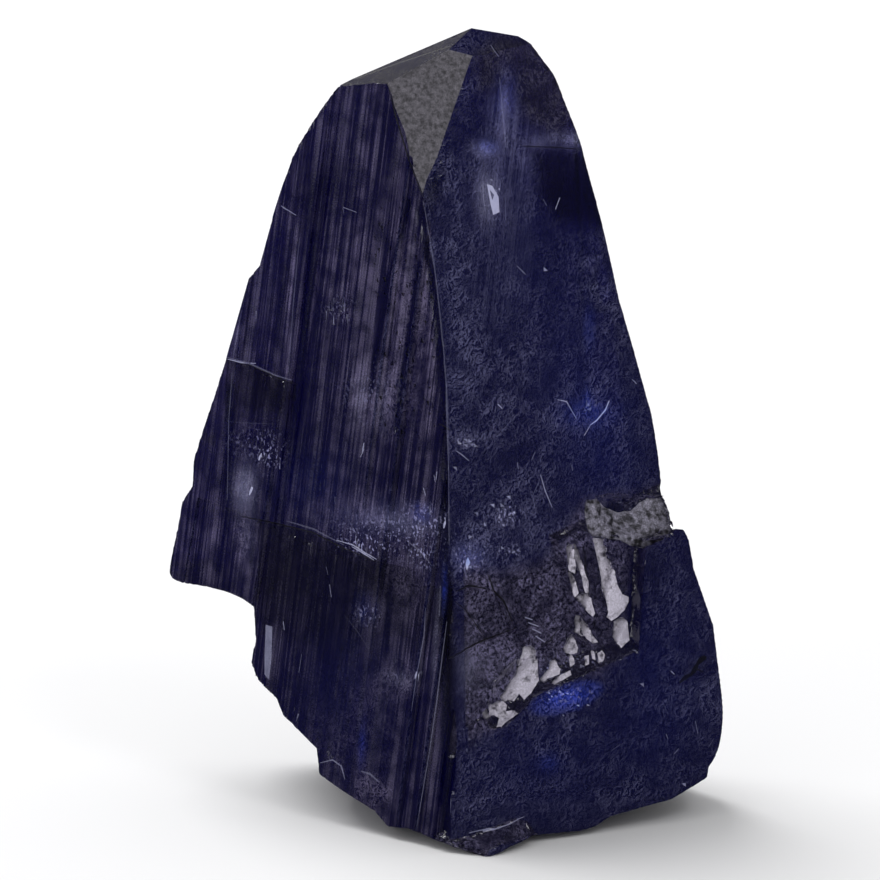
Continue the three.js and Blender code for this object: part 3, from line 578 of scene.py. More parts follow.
# Draws a thin line on the skin, widest in its middle, and gives its faces a value
def drawLine(bm, layer, front, value, width, points):
    steps = len(points) - 1
    wide = [width / 2 * math.sin(math.pi * (0.15 + 0.7 * k / steps)) for k in range(steps + 1)]
    for k in range(steps):
        (ax, av), (bx, bv) = points[k], points[k + 1]
        length = math.hypot(bx - ax, bv - av)
        nx, nv = (av - bv) / length, (bx - ax) / length
        quad = [(ax + nx * wide[k], av + nv * wide[k]), (bx + nx * wide[k + 1], bv + nv * wide[k + 1]),
                (bx - nx * wide[k + 1], bv - nv * wide[k + 1]), (ax - nx * wide[k], av - nv * wide[k])]
        for f in cutOutline(bm, front, quad):
            f[layer] = value


def inField(faces, corners):
    return patchDistance(*faceMap(faces), corners) > 0


def only(faces, wanted):
    return [f for f, yes in zip(faces, wanted) if yes]


# Sorts the solid's faces into zones by the way they look and where they lie
def sortFaces(bm, zone):
    form = crystalForm
    leftN, rightN, bevelN, backN, frostN = (
        Vector(form[k]).normalized()
        for k in ("leftNormal", "rightNormal", "bevelNormal", "backNormal", "frostNormal"))
    onLeft = Vector(form["leftPlace"])
    bevelX, bevelZ = form["bevelEnds"]
    families = {k: [] for k in range(len(zoneNames))}
    for f in bm.faces:
        c, n = f.calc_center_median(), f.normal
        if n.z < -0.99:
            found = footZone
        elif n.dot(frostN) > 0.995 and c.z > form["frostFrom"]:
            found = frostZone
        elif n.z > 0.7 and c.z > form["topFrom"]:
            found = topZone if n.x < 0.1 else rightZone
        elif n.dot(bevelN) > 0.985 and c.x < bevelX and c.z < bevelZ:
            found = bevelZone
        elif n.dot(leftN) > 0.45 and (c - onLeft).dot(leftN) > -form["leftSetBack"] and c.x < form["ridgeX"]:
            found = leftZone
        elif n.dot(rightN) > 0.9:
            found = rightZone
        elif n.dot(backN) > 0.8:
            found = backZone
        else:
            found = brokenZone
        f[zone] = found
        families[found].append(f)
    print("faces in each zone:", {name: len(families[k]) for k, name in enumerate(zoneNames)})
    return families


# Cuts each zone into its cells: strips on the striated faces, squares on the others
def cutCells(bm, zone, families, leftBreaks, backBreaks):
    form = crystalForm
    heights, widths, depths = (0, 45), (-16, 16), (-10, 10)    # mm, as far as the stone reaches
    leftWay, backWay = Vector((1, 0, -form["leftLean"])), Vector((1, 0, -form["backLean"]))
    up, across, deep = Vector((0, 0, 1)), Vector((1, 0, 0)), Vector((0, 1, 0))
    fineBreaks = []
    for low, high in zip(leftBreaks, leftBreaks[1:]):
        parts = math.ceil((high - low) / form["striaeCell"])
        fineBreaks += [low + (high - low) * k / parts for k in range(parts)]
    faces = sliceFan(bm, families[leftZone], leftWay, fineBreaks)
    faces = sliceFan(bm, faces, up, evenSteps(*heights, form["sliceUp"]))
    pitted = only(faces, inField(faces, pittedField))
    sliceFan(bm, pitted, up, evenSteps(*form["pittedHeights"], form["pittedUp"]))
    faces = sliceFan(bm, families[backZone], backWay, backBreaks)
    sliceFan(bm, faces, up, evenSteps(*heights, form["sliceUp"]))
    smoothFaces = families[rightZone] + families[bevelZone] + families[frostZone] + families[topZone]
    faces = sliceFan(bm, smoothFaces, across, evenSteps(*widths, form["smoothCell"]))
    faces = sliceFan(bm, faces, up, evenSteps(*heights, form["smoothCell"]))
    refined = only(faces, inField(faces, fineField) | inField(faces, topField))
    refined = [f for f in refined if f[zone] in (rightZone, bevelZone)]
    refined = sliceFan(bm, refined, across, evenSteps(*form["shatteredWidths"], form["shatteredCell"]))
    sliceFan(bm, refined, up, evenSteps(*form["shatteredHeights"], form["shatteredCell"]))
    faces = sliceFan(bm, families[footZone], across, evenSteps(*widths, form["footCell"]))
    sliceFan(bm, faces, deep, evenSteps(*depths, form["footCell"]))
    faces = sliceFan(bm, families[brokenZone], up, evenSteps(*heights, form["brokenCell"]))
    faces = sliceFan(bm, faces, across, evenSteps(*widths, form["brokenCell"]))
    sliceFan(bm, [f for f in faces if abs(f.normal.y) < 0.8], deep, evenSteps(*depths, form["brokenCell"]))
    bm.normal_update()


# Cuts the break faces, the thin lines and the outlined patches into the front
def cutDetails(bm, zone, glint, crack):
    front = FrontFaces([f for f in bm.faces if f.normal.y < -0.1])
    for name, (faces, deep, corners) in breakFaces.items():
        finish = ledgeZone if name == "frostedLedge" else paleZone
        sinkBreakFace(bm, zone, front, faces, deep, corners, finish)
    for layer, lines in ((glint, glintLines), (crack, crackLines)):
        for value, width, points in lines:
            drawLine(bm, layer, front, value, width, points)
    # the painted highlights
    for value, corners in litOutlines:
        for f in cutOutline(bm, front, corners):
            f[glint] = value
    # the painted light patches
    for corners, amount in litPatches:
        cutOutline(bm, front, corners)      # only their edges: faceMasks makes them lighter
    frosted = set(cutOutline(bm, front, frostOutline))
    for f in bm.faces:
        if f[zone] == frostZone and f not in frosted:
            f[zone] = bevelZone
    bmesh.ops.triangulate(bm, faces=bm.faces, quad_method="BEAUTY", ngon_method="BEAUTY")
    bm.normal_update()


# Flecks and pits: small triangles set into the skin; the flecks painted light as glints, the pits painted dark
# as the shade in their hollows
def addFlecks(bm, zone, glint, crack, rng):
    least, most = crystalForm["fleckAreas"]
    plain = [f for f in bm.faces if f.normal.y < -0.1 and f[zone] not in (paleZone, frostZone, topZone)
             and f[glint] == 0 and least < f.calc_area() < most]
    mapX, mapV = faceMap(plain)
    flecks = {}
    allFlecks = fleckSpots + [(x, v, 0.03, 0.03, 1, value) for x, v, value in loneFlecks]
    for x, v, wide, tall, count, value in allFlecks:
        for each in range(count):
            px, pv = rng.gauss(x, wide * 0.6), rng.gauss(v, tall * 0.6)
            flecks[int(np.argmin(np.hypot(mapX - px, mapV - pv)))] = value * rng.uniform(0.5, 1.2)
    pitPlaces = np.nonzero(patchDistance(mapX, mapV, pittedField) > 0.05)[0]
    pits = [int(rng.choice(pitPlaces)) for each in range(crystalForm["pitCount"])]
    for low, high, thickness in fleckRims:
        sized = [plain[k] for k in flecks if low <= plain[k].calc_area() < high]
        bmesh.ops.inset_individual(bm, faces=sized, thickness=thickness, depth=-crystalForm["fleckDepth"])
    for k, value in flecks.items():
        plain[k][glint] = value
    pits = list(dict.fromkeys(k for k in pits if k not in flecks))
    pitFaces = [plain[k] for k in pits]
    bmesh.ops.inset_individual(bm, faces=pitFaces, thickness=0.03, depth=-crystalForm["pitDepth"])
    # the pits painted nearly black, as painted shade in their hollows
    for k in pits:
        plain[k][crack] = 0.9
    bmesh.ops.triangulate(bm, faces=bm.faces)
    bm.normal_update()
    bm.verts.index_update()
    print("flecks:", len(flecks), "pits:", len(pits))


# Sinks each point by its own relief, straight into the stone, and makes the point masks for the finish
def shapeSkin(bm, zone, leftBreaks, leftDepths, backBreaks, backDepths):
    form = crystalForm
    places = np.array([v.co for v in bm.verts])
    normals = np.array([v.normal for v in bm.verts])
    share = np.zeros((len(bm.verts), len(zoneNames)))
    for f in bm.faces:
        for v in f.verts:
            share[v.index, f[zone]] += 1
    share /= share.sum(1, keepdims=True)
    mapX, mapV = frontMap(places)
    facing = softStep(-normals[:, 1], -0.1, 0.3)

    def within(corners, low, high):
        return facing * softStep(patchDistance(mapX, mapV, corners), low, high)

    def spotted(table):
        return spots(mapX, mapV, table)

    def nearLine(points, wide):
        return np.exp(-(lineDistance(mapX, mapV, points) / wide) ** 2)

    u = places[:, 0] - form["leftLean"] * places[:, 2]
    w = places[:, 0] - form["backLean"] * places[:, 2]
    calm = layeredLumps(places, *form["calmLumps"])
    strandBreath = lumps(np.c_[u * 3.1, u * 0, places[:, 2]], 1.0, 5, (1.0, 1.0, 6.0))
    leftDepth = form["striaeDepth"] * np.interp(u, leftBreaks, leftDepths) * (0.25 + 1.1 * strandBreath)
    backDepth = form["striaeDepth"] * 1.3 * np.interp(w, backBreaks, backDepths) * (0.3 + calm)
    broken = form["brokenDepth"] * (1 - np.abs(2 * layeredLumps(places, *form["brokenLumps"]) - 1))
    smooth = form["smoothDepth"] * layeredLumps(places, *form["smoothLumps"])
    shatter = within(brokenField, -0.5, 0.6) * softStep(mapX, form["ridgeX"], 1.3)
    ripples = 0.5 - 0.5 * np.cos(2 * math.pi * layeredLumps(places, *form["rippleLumps"]) * 3.0)
    crumbs = layeredLumps(places, *form["crumbleLumps"])
    crumbled = form["rippleDepth"] * ripples + form["crumbleDepth"] * crumbs
    inTerrace = within(shadedTerrace, -0.5, 0.7)
    depth = (share[:, leftZone] * leftDepth + share[:, backZone] * backDepth
             + share[:, brokenZone] ** 2 * broken
             + share[:, rightZone] * (smooth + form["terraceDepth"] * inTerrace + shatter * crumbled))
    # painted sheen and painted shade; the calm lumps add random tone
    sheen = 0.30 + 0.10 * share[:, rightZone] + 0.30 * (calm - 0.5) + facing * (
        spotted(sheenSpots) - spotted(shadeSpots)) - 0.26 * inTerrace
    # the columns: painted shade in the grooves, the darkest of which are also sunk, and painted sheen on the
    # light columns
    for points, wide, strength in columns:
        groove = nearLine(points, wide)
        if strength < -1:
            depth += form["grooveDepth"] * facing * share[:, leftZone] * groove
        sheen += facing * share[:, leftZone] * strength * groove

    along = math.radians(blueGlow["turn"])
    dx, dv = mapX - blueGlow["centre"][0], mapV - blueGlow["centre"][1]
    rx = (dx * math.cos(along) + dv * math.sin(along)) / blueGlow["half"][0]
    rv = (dv * math.cos(along) - dx * math.sin(along)) / blueGlow["half"][1]
    reach = np.hypot(rx, rv)
    patchGlow = softStep(-reach, -1.05, -0.75) * (0.34 + 0.8 * softStep(-reach, -0.7, -0.1))
    # painted deep shade: the listed spots, the terrace and a dark line under the top facets
    shadeUnderLine = share[:, topZone] * nearLine(shadeUnderTop, 0.4)
    deepShade = facing * (spotted(deepShadeSpots) + 0.75 * inTerrace) + 0.7 * shadeUnderLine
    masks = {
        "milkyLight": facing * spotted(milkyLightSpots),
        "deepShade": np.clip(deepShade, 0, 1),
        "glitter": facing * spotted(glitterSpots),
        "crumb": facing * np.clip(spotted(crumbSpots), 0, 1),
        "sheen": np.clip(sheen, 0, 2),
        "glow": facing * (patchGlow + spotted(glowSpots)),
        "grey": within(greyTop, -0.8, 0.6),
        "streaky": within(streakyTop, -0.6, 0.8),
        "shatter": shatter,
    }
    return places - normals * depth[:, None], masks


# Masks that hold for a whole face: painted shade under the ledges and on up-facing broken faces, painted light
# on two patches
def faceMasks(bm, zone):
    mapX, mapV = faceMap(bm.faces)
    facing = np.array([f.normal.y < 0.05 for f in bm.faces])
    dim = np.zeros(len(facing))
    for corners, amount, foot in crackShadeFields:
        below = amount * softStep(mapV, foot, foot + 3.0)
        dim = np.maximum(dim, below * (facing & (patchDistance(mapX, mapV, corners) > 0)))
    # painted shade on the up-facing faces of the broken part
    upward = np.array([f.normal.z > 0.35 and f[zone] in (brokenZone, rightZone) for f in bm.faces])
    dim = np.maximum(dim, 0.6 * (upward & facing & (patchDistance(mapX, mapV, fineField) > -0.5)))
    patch = np.zeros(len(facing))
    for corners, amount in litPatches:
        patch = np.maximum(patch, amount * (facing & (patchDistance(mapX, mapV, corners) > 0)))
    masks = {"dim": dim, "patch": patch}
    zoneOf = np.array([f[zone] for f in bm.faces])
    for number in (leftZone, rightZone, backZone, bevelZone, topZone):
        masks[zoneNames[number]] = zoneOf == number
    return masks


def inScene(name, data):
    made = bpy.data.objects.new(name, data)
    bpy.context.scene.collection.objects.link(made)
    return made


def makeCrystal():
    form = crystalForm
    rng = random.Random(form["seed"])
    bm = bmesh.new()
    bm.from_mesh(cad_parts["crystal"].data)
    bmesh.ops.scale(bm, vec=(1 / mm,) * 3, verts=bm.verts)
    bmesh.ops.remove_doubles(bm, verts=bm.verts, dist=weld)
    bmesh.ops.dissolve_limit(bm, angle_limit=math.radians(0.4), verts=bm.verts, edges=bm.edges)
    zone = bm.faces.layers.int.new("zone")
    glint = bm.faces.layers.float.new("glint")
    crack = bm.faces.layers.float.new("crack")
    families = sortFaces(bm, zone)
    leftBreaks, leftDepths = striationBreaks(-19.0, 0.5, form["striaeWidth"], rng)
    backBreaks, backDepths = striationBreaks(-16.5, 16.5, form["backStriaeWidth"], rng)
    cutCells(bm, zone, families, leftBreaks, backBreaks)
    cutDetails(bm, zone, glint, crack)
    addFlecks(bm, zone, glint, crack, rng)
    print("cells cut:", len(bm.verts), "points,", len(bm.faces), "triangles")

    places, pointMasks = shapeSkin(bm, zone, leftBreaks, leftDepths, backBreaks, backDepths)
    wholeMasks = faceMasks(bm, zone)
    for v, p in zip(bm.verts, places):
        v.co = Vector(p) * mm
    for e in bm.edges:
        striated = all(f[zone] in (leftZone, backZone) for f in e.link_faces)
        limit = form["striaeEdge"] if striated else form["plainEdge"]
        e.smooth = e.calc_face_angle(3.2) < math.radians(limit)
    for f in bm.faces:
        f.smooth = True
        f.material_index = {paleZone: 1, frostZone: 2, ledgeZone: 3}.get(f[zone], 0)

    mesh = bpy.data.meshes.new("tanzaniteCrystal")
    bm.to_mesh(mesh)
    bm.free()
    for domain, masks in (("POINT", pointMasks), ("FACE", wholeMasks)):
        for name, values in masks.items():
            mesh.attributes.new(name, "FLOAT", domain).data.foreach_set("value", values.astype(np.float32))
    crystal = inScene("tanzaniteCrystal", mesh)
    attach(crystal, "root")
    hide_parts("crystal")
    return crystal


print("cutting the crystal's faces into striations and breaks")
crystal = makeCrystal()


# finish: small tools for wiring nodes
def addNode(tree, kind, **values):
    made = tree.nodes.new(kind)
    for name, value in values.items():
        setattr(made, name, value)
    return made


def feed(tree, socket, value):
    if isinstance(value, bpy.types.NodeSocket):
        tree.links.new(value, socket)
    else:
        socket.default_value = value


def sums(tree, operation, first, second=0.0, clamp=False):
    made = addNode(tree, "ShaderNodeMath", operation=operation, use_clamp=clamp)
    feed(tree, made.inputs[0], first)
    feed(tree, made.inputs[1], second)
    return made.outputs[0]


def times(tree, first, second, clamp=False):
    return sums(tree, "MULTIPLY", first, second, clamp)


def plus(tree, first, second):
    return sums(tree, "ADD", first, second)


def larger(tree, first, second):
    return sums(tree, "MAXIMUM", first, second)


def ramped(tree, value, low, high, toLow=0.0, toHigh=1.0):
    made = addNode(tree, "ShaderNodeMapRange", interpolation_type="SMOOTHSTEP")
    for k, each in enumerate((value, low, high, toLow, toHigh)):
        feed(tree, made.inputs[k], each)
    return made.outputs[0]


def blended(tree, amount, first, second):
    made = addNode(tree, "ShaderNodeMix", data_type="RGBA")
    feed(tree, made.inputs[0], amount)
    feed(tree, made.inputs[6], first)
    feed(tree, made.inputs[7], second)
    return made.outputs[2]


def cloud(tree, place, scale, detail=3.0, rough=0.5, distortion=0.0):
    made = addNode(tree, "ShaderNodeTexNoise")
    feed(tree, made.inputs["Vector"], place)
    values = {"Scale": scale, "Detail": detail, "Roughness": rough, "Distortion": distortion}
    for name, value in values.items():
        made.inputs[name].default_value = value
    return made.outputs["Fac"]


def stretched(tree, place, scale, turn=(0, 0, 0)):
    made = addNode(tree, "ShaderNodeMapping")
    feed(tree, made.inputs["Vector"], place)
    made.inputs["Rotation"].default_value = turn
    made.inputs["Scale"].default_value = scale
    return made.outputs[0]


def stoneMask(tree, name):
    return addNode(tree, "ShaderNodeAttribute", attribute_name=name).outputs["Fac"]


def millimetres(tree):
    place = addNode(tree, "ShaderNodeTexCoord")
    grown = addNode(tree, "ShaderNodeVectorMath", operation="SCALE")
    tree.links.new(place.outputs["Object"], grown.inputs[0])
    grown.inputs["Scale"].default_value = 1000.0
    return grown.outputs[0]


def addBump(tree, shader, height, strength, distance):
    bump = addNode(tree, "ShaderNodeBump")
    feed(tree, bump.inputs["Strength"], strength)
    feed(tree, bump.inputs["Distance"], distance)
    feed(tree, bump.inputs["Height"], height)
    feed(tree, shader.inputs["Normal"], bump.outputs[0])


def newMaterial(name):
    material = bpy.data.materials.new(name)
    material.use_nodes = True
    return material, material.node_tree.nodes["Principled BSDF"]


def newGroup(name, inputs, outputs):
    group = bpy.data.node_groups.new(name, "ShaderNodeTree")
    for each, kind, value in inputs:
        made = group.interface.new_socket(each, in_out="INPUT", socket_type=kind)
        if value is not None:
            made.default_value = value
    for each, kind in outputs:
        group.interface.new_socket(each, in_out="OUTPUT", socket_type=kind)
    return group, addNode(group, "NodeGroupInput").outputs, addNode(group, "NodeGroupOutput").inputs


# Fine upright growth lines: Streak is their lightness, Height their relief
def makeGrowthLines():
    group, given, result = newGroup("growthLines", [("Place", "NodeSocketVector", None),
                                                    ("Lean", "NodeSocketFloat", 0.12)],
                                    [("Streak", "NodeSocketFloat"), ("Height", "NodeSocketFloat")])
    parts = addNode(group, "ShaderNodeSeparateXYZ")
    feed(group, parts.inputs[0], given["Place"])
    across = sums(group, "SUBTRACT", parts.outputs[0], times(group, parts.outputs[2], given["Lean"]))
    lines = addNode(group, "ShaderNodeCombineXYZ")
    feed(group, lines.inputs[0], across)
    feed(group, lines.inputs[2], parts.outputs[2])
    fine = cloud(group, stretched(group, lines.outputs[0], (8.0, 1, 0.11)), 1.0, 1.0, 0.6)
    broad = cloud(group, stretched(group, lines.outputs[0], (2.1, 1, 0.06)), 1.0, 0.0)
    total = plus(group, times(group, fine, 0.68), times(group, broad, 0.32))
    feed(group, result["Streak"], ramped(group, total, 0.40, 0.66))
    feed(group, result["Height"], total)
    return group


# Curly grain, as on an etched face: Curl draws its thin ridges, LitSide is painted light on one side of
# them, and Height is its relief
grainWaves = (2.9, 2.5, 0.6, 1.2)      # scale, detail, roughness, distortion


def makeStoneGrain():
    group, given, result = newGroup("stoneGrain", [("Place", "NodeSocketVector", None),
                                                   ("Size", "NodeSocketFloat", 1.0)],
                                    [("Curl", "NodeSocketFloat"), ("LitSide", "NodeSocketFloat"),
                                     ("Height", "NodeSocketFloat")])
    grown = addNode(group, "ShaderNodeVectorMath", operation="SCALE")
    feed(group, grown.inputs[0], stretched(group, given["Place"], (1.0, 1.0, 0.9), (0.0, 0.35, 0.0)))
    feed(group, grown.inputs["Scale"], sums(group, "DIVIDE", 1.0, given["Size"]))
    waves = cloud(group, grown.outputs[0], *grainWaves)
    ridge = sums(group, "ABSOLUTE", sums(group, "SUBTRACT", waves, 0.5))
    feed(group, result["Curl"], ramped(group, ridge, 0.0, 0.06, 1.0, 0.0))
    feed(group, result["Height"], waves)
    shifted = addNode(group, "ShaderNodeVectorMath", operation="ADD")
    feed(group, shifted.inputs[0], grown.outputs[0])
    shifted.inputs[1].default_value = (0.05, 0.0, -0.06)
    slope = sums(group, "SUBTRACT", cloud(group, shifted.outputs[0], *grainWaves), waves)
    feed(group, result["LitSide"], ramped(group, slope, 0.0, 0.09))
    return group


growthLines = makeGrowthLines()
stoneGrain = makeStoneGrain()


def useGroup(tree, group, **values):
    made = addNode(tree, "ShaderNodeGroup", node_tree=group)
    for name, value in values.items():
        feed(tree, made.inputs[name], value)
    return made.outputs


clearStone = {
    "transmission": 0.6,
    "ior": 1.69,
    "absorption": (0.10, 0.06, 0.55),
    "density": 680.0,
    "leftDark": (0.003, 0.002, 0.054, 1), "leftLight": (0.27, 0.23, 0.43, 1),
    "rightDark": (0.003, 0.003, 0.066, 1), "rightLight": (0.215, 0.215, 0.43, 1),
    "brokenDark": (0.012, 0.010, 0.040, 1), "brokenLight": (0.31, 0.28, 0.50, 1),
    "topLight": (0.085, 0.080, 0.105, 1), "greyLight": (0.14, 0.13, 0.18, 1),
    "paintedMilk": (0.34, 0.34, 0.55, 1), "sparkle": (0.44, 0.43, 0.78, 1), "black": (0.004, 0.003, 0.012, 1),
    "glint": (0.80, 0.80, 0.98, 1), "blueGlint": (0.30, 0.46, 1.0, 1),
    "glow": (0.012, 0.028, 0.26, 1), "spark": (0.165, 0.17, 0.27, 1),
    "bump": 0.3,
    "bumpHeight": 0.00008,    # metres
}


def makeClearStone():
    look = clearStone
    material, shader = newMaterial("clearTanzanite")
    tree = material.node_tree
    shader.inputs["Transmission Weight"].default_value = look["transmission"]
    shader.inputs["IOR"].default_value = look["ior"]
    place = millimetres(tree)
    left, right, bevel, top = (stoneMask(tree, n) for n in ("leftZone", "rightZone", "bevelZone", "topZone"))
    striated = larger(tree, left, stoneMask(tree, "backZone"))
    sheen, glow, grey, streaky, shatter, dim, patch, glint, crack, milkyLight, deepShade, glitter, crumb = (
        stoneMask(tree, n) for n in ("sheen", "glow", "grey", "streaky", "shatter", "dim", "patch", "glint",
                                     "crack", "milkyLight", "deepShade", "glitter", "crumb"))
    # painted sheen with random tone, less the painted shade, plus the painted light patches
    toneAndSheen = plus(tree, times(tree, sheen, sums(tree, "SUBTRACT", 1.0, dim)), patch)

    lines = useGroup(tree, growthLines, Place=place, Lean=crystalForm["leftLean"])
    grain = useGroup(tree, stoneGrain, Place=place, Size=1.0)
    breath = ramped(tree, cloud(tree, place, 0.9, 1.0), 0.30, 0.68, 0.35, 1.5)

    # colour of each family of faces, lightened by the painted sheen and darkened by the painted shade
    # crumbly grain, with painted light on one side of its ridges
    crumbs = times(tree, larger(tree, grain["Curl"], grain["LitSide"]),
                   ramped(tree, grain["Height"], 0.3, 0.65, 0.25, 1.15))
    leftPattern = ramped(tree, crumb, 0.0, 1.0, lines["Streak"], crumbs)
    leftLight = times(tree, plus(tree, 0.05, leftPattern), times(tree, toneAndSheen, breath), True)
    leftBase = blended(tree, dim, look["leftDark"], look["black"])
    leftColour = blended(tree, leftLight, leftBase, look["leftLight"])
    curls = times(tree, grain["Curl"], breath)
    drift = ramped(tree, cloud(tree, place, 0.28, 0.0), 0.35, 0.65, 0.65, 1.35)
    grainAndLitSide = plus(tree, times(tree, grain["LitSide"], 0.8), times(tree, grain["Curl"], 0.6))
    grainAndLitSide = times(tree, times(tree, grainAndLitSide, breath), drift)
    mixed = plus(tree, grainAndLitSide, times(tree, streaky, times(tree, lines["Streak"], 0.7)))
    mixed = plus(tree, 0.08, times(tree, mixed, 0.85))
    rightLight = times(tree, mixed, toneAndSheen, True)
    rightColour = blended(tree, rightLight, look["rightDark"], look["rightLight"])
    greyAmount = plus(tree, 0.06, times(tree, curls, 0.6))
    greyColour = blended(tree, greyAmount, look["brokenDark"], look["greyLight"])
    rightColour = blended(tree, grey, rightColour, greyColour)
    speckle = times(tree, ramped(tree, cloud(tree, place, 5.0, 3.0, 0.75), 0.38, 0.66),
                    sums(tree, "SUBTRACT", 1.0, times(tree, grain["Curl"], 0.6)))
    brokenLight = times(tree, speckle, times(tree, times(tree, toneAndSheen, breath), 2.0), True)
    brokenColour = blended(tree, brokenLight, look["brokenDark"], look["brokenLight"])
    colour = blended(tree, striated, brokenColour, leftColour)
    colour = blended(tree, larger(tree, right, bevel), colour, rightColour)
    colour = blended(tree, times(tree, right, shatter), colour, brokenColour)
    colour = blended(tree, top, colour, blended(tree, grainAndLitSide, look["leftDark"], look["topLight"]))
    # painted milky light
    paintedMilk = times(tree, milkyLight, plus(tree, 0.55, times(tree, curls, 0.6)), True)
    colour = blended(tree, paintedMilk, colour, look["paintedMilk"])
    # painted sparkles, also given some emission
    sparkles = ramped(tree, cloud(tree, stretched(tree, place, (1.0, 1.0, 0.7)), 6.5, 1.0), 0.575, 0.67)
    sparkles = times(tree, glitter, sparkles, True)
    colour = blended(tree, sparkles, colour, look["sparkle"])
    # the dark cracks, and the painted deep shade
    colour = blended(tree, larger(tree, crack, times(tree, deepShade, 0.8)), colour, look["black"])
    # painted glints, bluer inside the painted glow
    bright = times(tree, times(tree, glint, glint), plus(tree, 0.55, times(tree, grain["Height"], 0.9)))
    glintColour = blended(tree, ramped(tree, glow, 0.10, 0.22), look["glint"], look["blueGlint"])
    colour = blended(tree, times(tree, bright, 0.55, True), colour, glintColour)
    feed(tree, shader.inputs["Base Color"], colour)

    # gloss
    rough = plus(tree, 0.07, times(tree, grain["Curl"], 0.12))
    rough = plus(tree, rough, times(tree, striated, times(tree, lines["Streak"], 0.14)))
    rough = plus(tree, rough, times(tree, crack, 0.5))
    feed(tree, shader.inputs["Roughness"], rough)

    # painted glow and painted glints: emission standing in for light thrown back from cracks inside
    inner = times(tree, glow, plus(tree, 0.3, crumbs))
    light = addNode(tree, "ShaderNodeMix", data_type="RGBA", blend_type="ADD")
    light.inputs[0].default_value = 1.0
    bright = plus(tree, bright, times(tree, sparkles, 0.35))
    feed(tree, light.inputs[6], blended(tree, bright, (0, 0, 0, 1), look["spark"]))
    feed(tree, light.inputs[7], blended(tree, inner, (0, 0, 0, 1), look["glow"]))
    feed(tree, shader.inputs["Emission Color"], light.outputs[2])
    shader.inputs["Emission Strength"].default_value = 1.0

    # relief too fine to cut
    height = blended(tree, striated, grain["Height"], lines["Height"])
    addBump(tree, shader, height, look["bump"], look["bumpHeight"])

    absorb = addNode(tree, "ShaderNodeVolumeAbsorption")
    absorb.inputs["Color"].default_value = (*look["absorption"], 1)
    absorb.inputs["Density"].default_value = look["density"]
    tree.links.new(absorb.outputs["Volume"], tree.nodes["Material Output"].inputs["Volume"])
    return material


# Opaque faces: crushed pale breaks, the frosted facet under the top and the frosted ledge
# "size" is that of the grain, "cloud" the scale of the light and dark areas and where they fade
paleBreak = {"dark": (0.09, 0.083, 0.115, 1), "light": (0.74, 0.70, 0.84, 1),
             "rough": 0.45, "size": 0.9, "cloud": (1.9, 0.30, 0.50), "curl": 0.3}
frostedFacet = {"dark": (0.042, 0.039, 0.050, 1), "light": (0.190, 0.178, 0.215, 1),
                "rough": 0.5, "size": 0.55, "cloud": (4.0, 0.30, 0.66), "curl": 0.45}
frostedLedge = {"dark": (0.010, 0.009, 0.016, 1), "light": (0.45, 0.43, 0.57, 1),
                "rough": 0.5, "size": 0.42, "cloud": (2.6, 0.33, 0.64), "curl": 0.6}
opaqueBump, opaqueBumpHeight = 0.5, 0.0001     # strength, metres


def makePaleBreak(name, look):
    material, shader = newMaterial(name)
    tree = material.node_tree
    place = millimetres(tree)
    grain = useGroup(tree, stoneGrain, Place=place, Size=look["size"])
    scale, low, high = look["cloud"]
    shade = ramped(tree, cloud(tree, place, scale, 4.0, 0.65), low, high)
    curls = plus(tree, 1.0 - look["curl"], times(tree, grain["Curl"], look["curl"]))
    amount = times(tree, shade, curls, True)
    feed(tree, shader.inputs["Base Color"], blended(tree, amount, look["dark"], look["light"]))
    shader.inputs["Roughness"].default_value = look["rough"]
    shader.inputs["IOR"].default_value = clearStone["ior"]
    addBump(tree, shader, grain["Height"], opaqueBump, opaqueBumpHeight)
    return material


print("mixing the finishes")
crystal.data.materials.append(makeClearStone())
for name, look in (("paleBreak", paleBreak), ("frostedFacet", frostedFacet), ("frostedLedge", frostedLedge)):
    crystal.data.materials.append(makePaleBreak(name, look))

# floor, light and camera
studio = {
    "floorColour": (0.86, 0.86, 0.87, 1.0),
    "floorSize": 6.0,         # metres
    "dimSky": 0.03,           # as polished faces mirror it
    "softSky": 0.6,           # as it lights the stone and the floor
    "paleSky": 0.9,           # as the camera sees it
    "lamps": [
        # name, place in metres, size, watts, colour
        ("overheadSoftbox", (-0.35, 0.30, 0.80), 0.7, 6.0, (1.0, 1.0, 1.0)),
        ("leftSoftbox", (-0.50, -0.40, 0.13), 0.26, 0.34, (0.95, 0.95, 1.0)),
        ("frontRightSoftbox", (0.30, -0.40, 0.60), 0.22, 0.46, (0.98, 0.98, 1.0)),
        ("backSoftbox", (-0.2, 0.7, 0.45), 0.6, 0.22, (1.0, 0.98, 0.96)),
    ],
}


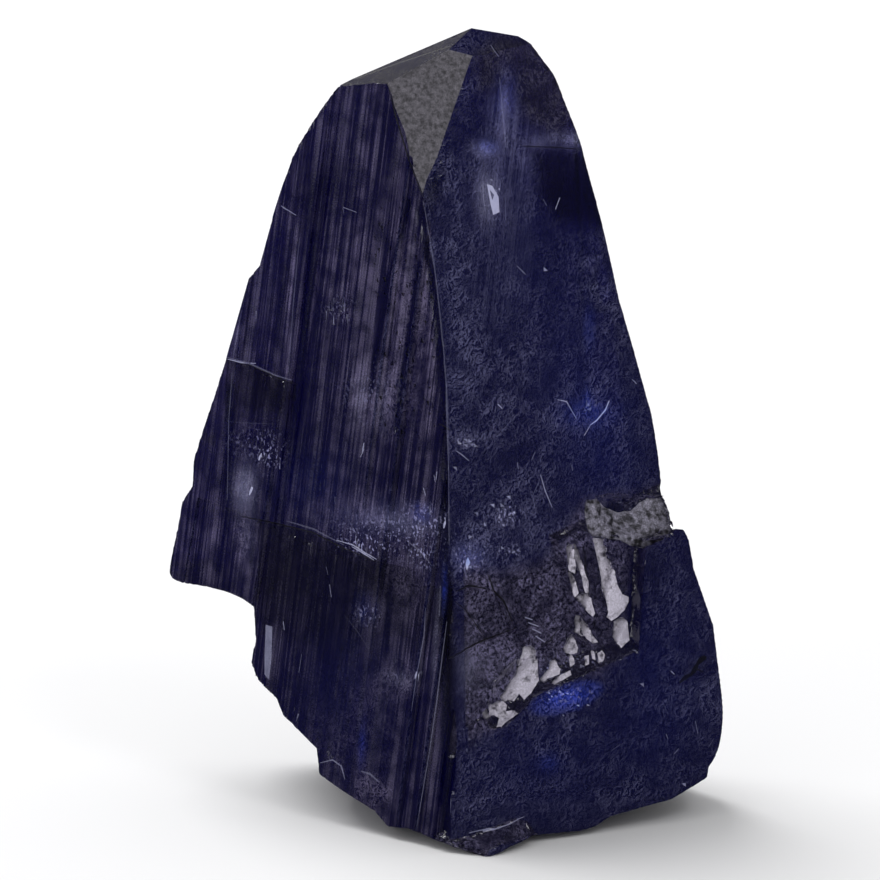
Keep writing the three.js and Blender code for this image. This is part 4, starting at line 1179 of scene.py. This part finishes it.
def makeFloor():
    half = studio["floorSize"] / 2
    mesh = bpy.data.meshes.new("paleFloor")
    corners = [(-half, -half, 0), (half, -half, 0), (half, half, 0), (-half, half, 0)]
    mesh.from_pydata(corners, [], [(0, 1, 2, 3)])
    floor = inScene("paleFloor", mesh)
    material, shader = newMaterial("palePaper")
    shader.inputs["Base Color"].default_value = studio["floorColour"]
    shader.inputs["Roughness"].default_value = 0.9
    mesh.materials.append(material)
    floor.visible_glossy = False      # polished faces mirror the dim studio, not the paper


def makeLamps():
    for name, place, size, watts, colour in studio["lamps"]:
        lamp = bpy.data.lights.new(name, "AREA")
        lamp.shape, lamp.size, lamp.energy, lamp.color = "DISK", size, watts, colour
        holder = inScene(name, lamp)
        holder.location = place
        holder.rotation_euler = (Vector((0, 0, 0.02)) - Vector(place)).to_track_quat("-Z", "Y").to_euler()
        holder.visible_camera = False


def makeSky():
    world = bpy.data.worlds.new("studioRoom")
    bpy.context.scene.world = world
    world.use_nodes = True
    tree = world.node_tree
    back = tree.nodes["Background"]
    path = addNode(tree, "ShaderNodeLightPath")
    back.inputs["Color"].default_value = (1, 1, 1, 1)
    strength = ramped(tree, path.outputs["Is Diffuse Ray"], 0.0, 1.0, studio["dimSky"], studio["softSky"])
    strength = ramped(tree, path.outputs["Is Camera Ray"], 0.0, 1.0, strength, studio["paleSky"])
    feed(tree, back.inputs["Strength"], strength)


def makeCamera():
    lens = bpy.data.cameras.new("viewpoint")
    holder = inScene("viewpoint", lens)
    tilt = math.radians(camera["elevation"])
    away = camera["distance"]
    target = Vector(camera["target"]) * mm
    holder.location = target + Vector((0, -math.cos(tilt), math.sin(tilt))) * away
    holder.rotation_euler = (math.pi / 2 - tilt, 0, 0)
    lens.sensor_width = camera["sensor"]
    lens.lens = camera["sensor"] * away / (camera["frameWidth"] * mm)
    lens.clip_start, lens.clip_end = 0.01, 20
    bpy.context.scene.camera = holder


print("setting the floor, lights and camera")
makeFloor()
makeLamps()
makeSky()
makeCamera()
bpy.context.scene.view_settings.view_transform = "Standard"
bpy.context.scene.cycles.max_bounces = 4           # the stone swallows light long before that
bpy.context.scene.cycles.transmission_bounces = 3
